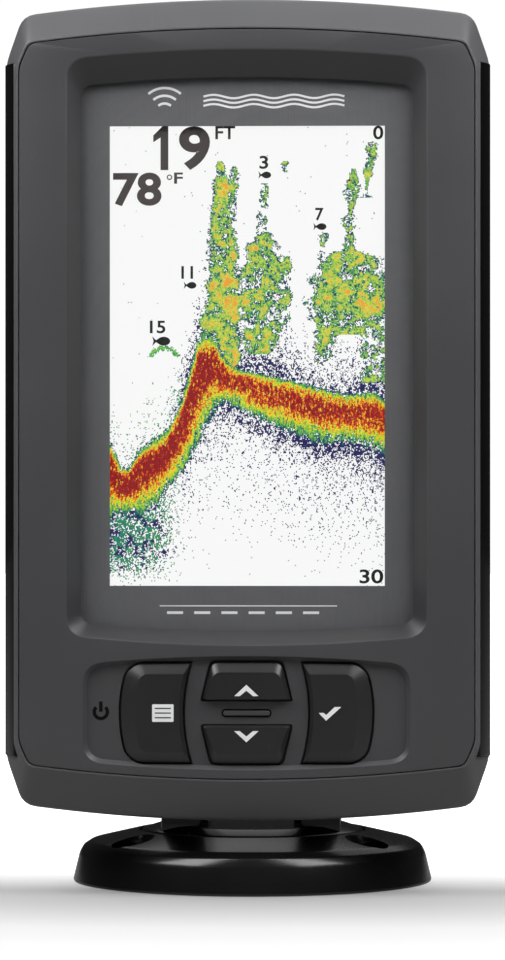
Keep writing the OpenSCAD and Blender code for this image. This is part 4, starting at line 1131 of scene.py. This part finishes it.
def lensMaterial():
    material, tree, shader = newMaterial("clearLens")
    place = newNode(tree, "ShaderNodeTexCoord").outputs["Object"]
    smears = noiseNode(tree, place, 34, 5, 0.7)
    rough = mathNode(tree, "MULTIPLY", mathNode(tree, "SUBTRACT", smears, 0.50, True), 0.25)
    tree.links.new(mathNode(tree, "ADD", rough, 0.03), shader.inputs["Roughness"])
    shader.inputs["IOR"].default_value = 1.49
    shader.inputs["Alpha"].default_value = 0.07
    shader.inputs["Base Color"].default_value = (0.02, 0.02, 0.02, 1)
    return material


finishes = dict(
    washer_nylon=skinMaterial("nylon", (0.68, 0.65, 0.56), 0.45, 0.4, 0.2),
    steel=skinMaterial("brightSteel", (0.56, 0.56, 0.57), 0.26, 0.2, 0.25, metallic=1),
    stud_brass=skinMaterial("studBrass", (0.62, 0.44, 0.16), 0.28, 0.3, 0.3, metallic=1),
    insert_brass=skinMaterial("insertBrass", (0.66, 0.47, 0.18), 0.32, 0.3, 0.3, metallic=1),
    black_rubber=skinMaterial("blackRubber", (0.018, 0.018, 0.018), 0.75, 0.5, 0.8),
    seal_rubber=skinMaterial("sealRed", (0.20, 0.035, 0.025), 0.6, 0.4, 0.3),
    lens_clear=lensMaterial(), mask_print=maskPrint,
    black_foam=skinMaterial("foamBlack", (0.012, 0.012, 0.012), 0.9, 0.25, 1.0),
    screen=screenLit,
    light_guide=skinMaterial("guideWhite", (0.82, 0.82, 0.80), 0.3, 0.5, 0.15),
    frame_steel=skinMaterial("frameSteel", (0.50, 0.51, 0.53), 0.34, 0.25, 0.3, metallic=1),
    flex_film=skinMaterial("amberFilm", (0.46, 0.17, 0.025), 0.3, 0.6, 0.1, coat=0.3),
    silicone=siliconeGrey,
    contact_gold=skinMaterial("contactGold", (0.80, 0.55, 0.18), 0.22, 0.2, 0.15, metallic=1),
    circuit_board=boardMaterial(),
    chip_plastic=skinMaterial("chipBlack", (0.016, 0.016, 0.017), 0.5, 0.25, 0.5),
    can_steel=skinMaterial("canSteel", (0.60, 0.61, 0.63), 0.24, 0.3, 0.2, metallic=1),
    ferrite=skinMaterial("ferrite", (0.045, 0.045, 0.048), 0.65, 0.35, 0.7),
    capacitor_sleeve=skinMaterial("sleeveBlue", (0.012, 0.016, 0.075), 0.3, 0.5, 0.2, coat=0.3),
    socket_plastic=skinMaterial("socketBlack", (0.020, 0.020, 0.021), 0.5, 0.4, 0.6),
)
slotOf = {part["node"]: part["material_slot"] for part in frame["record"]["subparts"]}
for node, cad in frame["nodes"].items():
    if cad.hide_render or slotOf[node] not in finishes:
        continue
    cad.data.materials.clear()
    cad.data.materials.append(finishes[slotOf[node]])

print("stage: studio")


def makeFloor():
    deselectAll()
    bpy.ops.mesh.primitive_plane_add(size=6, location=(0, 0, -0.0001))
    floor = bpy.context.object
    floor.name = "studioFloor"
    material, tree, shader = newMaterial("paleFloorPaintedShadow")
    place = newNode(tree, "ShaderNodeTexCoord").outputs["Object"]
    mottled = mixColour(tree, noiseNode(tree, place, 3), (0.27, 0.27, 0.27), (0.285, 0.285, 0.285))
    tree.links.new(mottled, shader.inputs["Base Color"])
    shader.inputs["Roughness"].default_value = 0.55
    shader.inputs["Specular IOR Level"].default_value = 0.3
    shader.inputs["Emission Color"].default_value = (1, 1, 1, 1)
    # painted shadow: the floor's glow, seen only by the camera, is weaker near the base, so the floor looks white to
    # the camera but for a soft painted shadow in front of the base
    fromFoot = newNode(tree, "ShaderNodeVectorMath", operation="MULTIPLY_ADD")
    tree.links.new(place, fromFoot.inputs[0])
    fromFoot.inputs[1].default_value = (0.42, 1, 0)
    fromFoot.inputs[2].default_value = (0, 0.036, 0)
    length = newNode(tree, "ShaderNodeVectorMath", operation="LENGTH")
    tree.links.new(fromFoot.outputs[0], length.inputs[0])
    split = newNode(tree, "ShaderNodeSeparateXYZ")
    tree.links.new(place, split.inputs[0])
    near = mathNode(tree, "MULTIPLY", length.outputs["Value"], 16, True)
    far = mathNode(tree, "MULTIPLY", mathNode(tree, "SUBTRACT", length.outputs["Value"], 0.06, True), 8, True)
    distant = mathNode(tree, "MULTIPLY", mathNode(tree, "SUBTRACT", length.outputs["Value"], 0.16, True), 4, True)
    # painted light: the glow is raised behind the base, over the head's shadow there
    behind = mathNode(tree, "MULTIPLY", mathNode(tree, "ADD", split.outputs["Y"], 0.025), 20, True)
    floorGlowPaintedShadow = mathNode(tree, "ADD", mathNode(tree, "MULTIPLY", near, 0.42), 0.04)
    floorGlowPaintedShadow = mathNode(tree, "ADD", floorGlowPaintedShadow, mathNode(tree, "MULTIPLY", far, 0.3))
    floorGlowPaintedShadow = mathNode(tree, "ADD", floorGlowPaintedShadow, mathNode(tree, "MULTIPLY", behind, 0.5))
    floorGlowPaintedShadow = mathNode(tree, "ADD", floorGlowPaintedShadow, mathNode(tree, "MULTIPLY", distant, 0.4))
    seen = newNode(tree, "ShaderNodeLightPath").outputs["Is Camera Ray"]
    floorGlowPaintedShadow = mathNode(tree, "ADD", mathNode(tree, "MULTIPLY", floorGlowPaintedShadow, seen), 0.05)
    tree.links.new(floorGlowPaintedShadow, shader.inputs["Emission Strength"])
    floor.data.materials.append(material)


def addLight(name, place, aim, size, power, sizeY=None):
    deselectAll()
    bpy.ops.object.light_add(type="AREA", location=place)
    light = bpy.context.object
    light.name = name
    light.data.shape = "RECTANGLE"
    light.data.size = size
    light.data.size_y = sizeY or size
    light.data.energy = power
    light.rotation_euler = (Vector(aim) - Vector(place)).to_track_quat("-Z", "Y").to_euler()
    return light


makeFloor()
middleOfHead = (0, 0, 0.1)
addLight("leftSoftbox", (-0.23, -0.17, 0.36), (0, -0.03, 0.15), 0.26, 1.9, 0.3)
addLight("rightSoftbox", (0.23, -0.17, 0.36), (0, -0.03, 0.15), 0.26, 1.9, 0.3)
addLight("frontFill", (0.0, -2.2, 1.3), middleOfHead, 1.6, 0.5)
addLight("backWash", (0.1, 0.9, 1.1), (0, 0, 0.05), 1.2, 2.6)
addLight("floorWash", (0, 0.1, 1.9), (0, 0, 0), 2.0, 2.4)

world = bpy.data.worlds.new("studioWorld")
bpy.context.scene.world = world
world.use_nodes = True
sky = world.node_tree
backdrop = sky.nodes["Background"]
backdrop.inputs["Color"].default_value = (1, 1, 1, 1)
seen = newNode(sky, "ShaderNodeLightPath").outputs["Is Camera Ray"]
sky.links.new(mathNode(sky, "ADD", mathNode(sky, "MULTIPLY", seen, 1.0), 0.02), backdrop.inputs["Strength"])
bpy.context.scene.view_settings.view_transform = "Standard"

cameraSizes = dict(distance=0.916, turn=1.75, height=0.0855, lens=160.4)
deselectAll()
turn = math.radians(cameraSizes["turn"])
away = cameraSizes["distance"]
bpy.ops.object.camera_add(location=(away * math.sin(turn), -away * math.cos(turn), cameraSizes["height"]))
camera = bpy.context.object
camera.rotation_euler = (math.pi / 2, 0, turn)
camera.data.lens = cameraSizes["lens"]
camera.data.sensor_width = 36
camera.data.clip_start = 0.01
bpy.context.scene.camera = camera
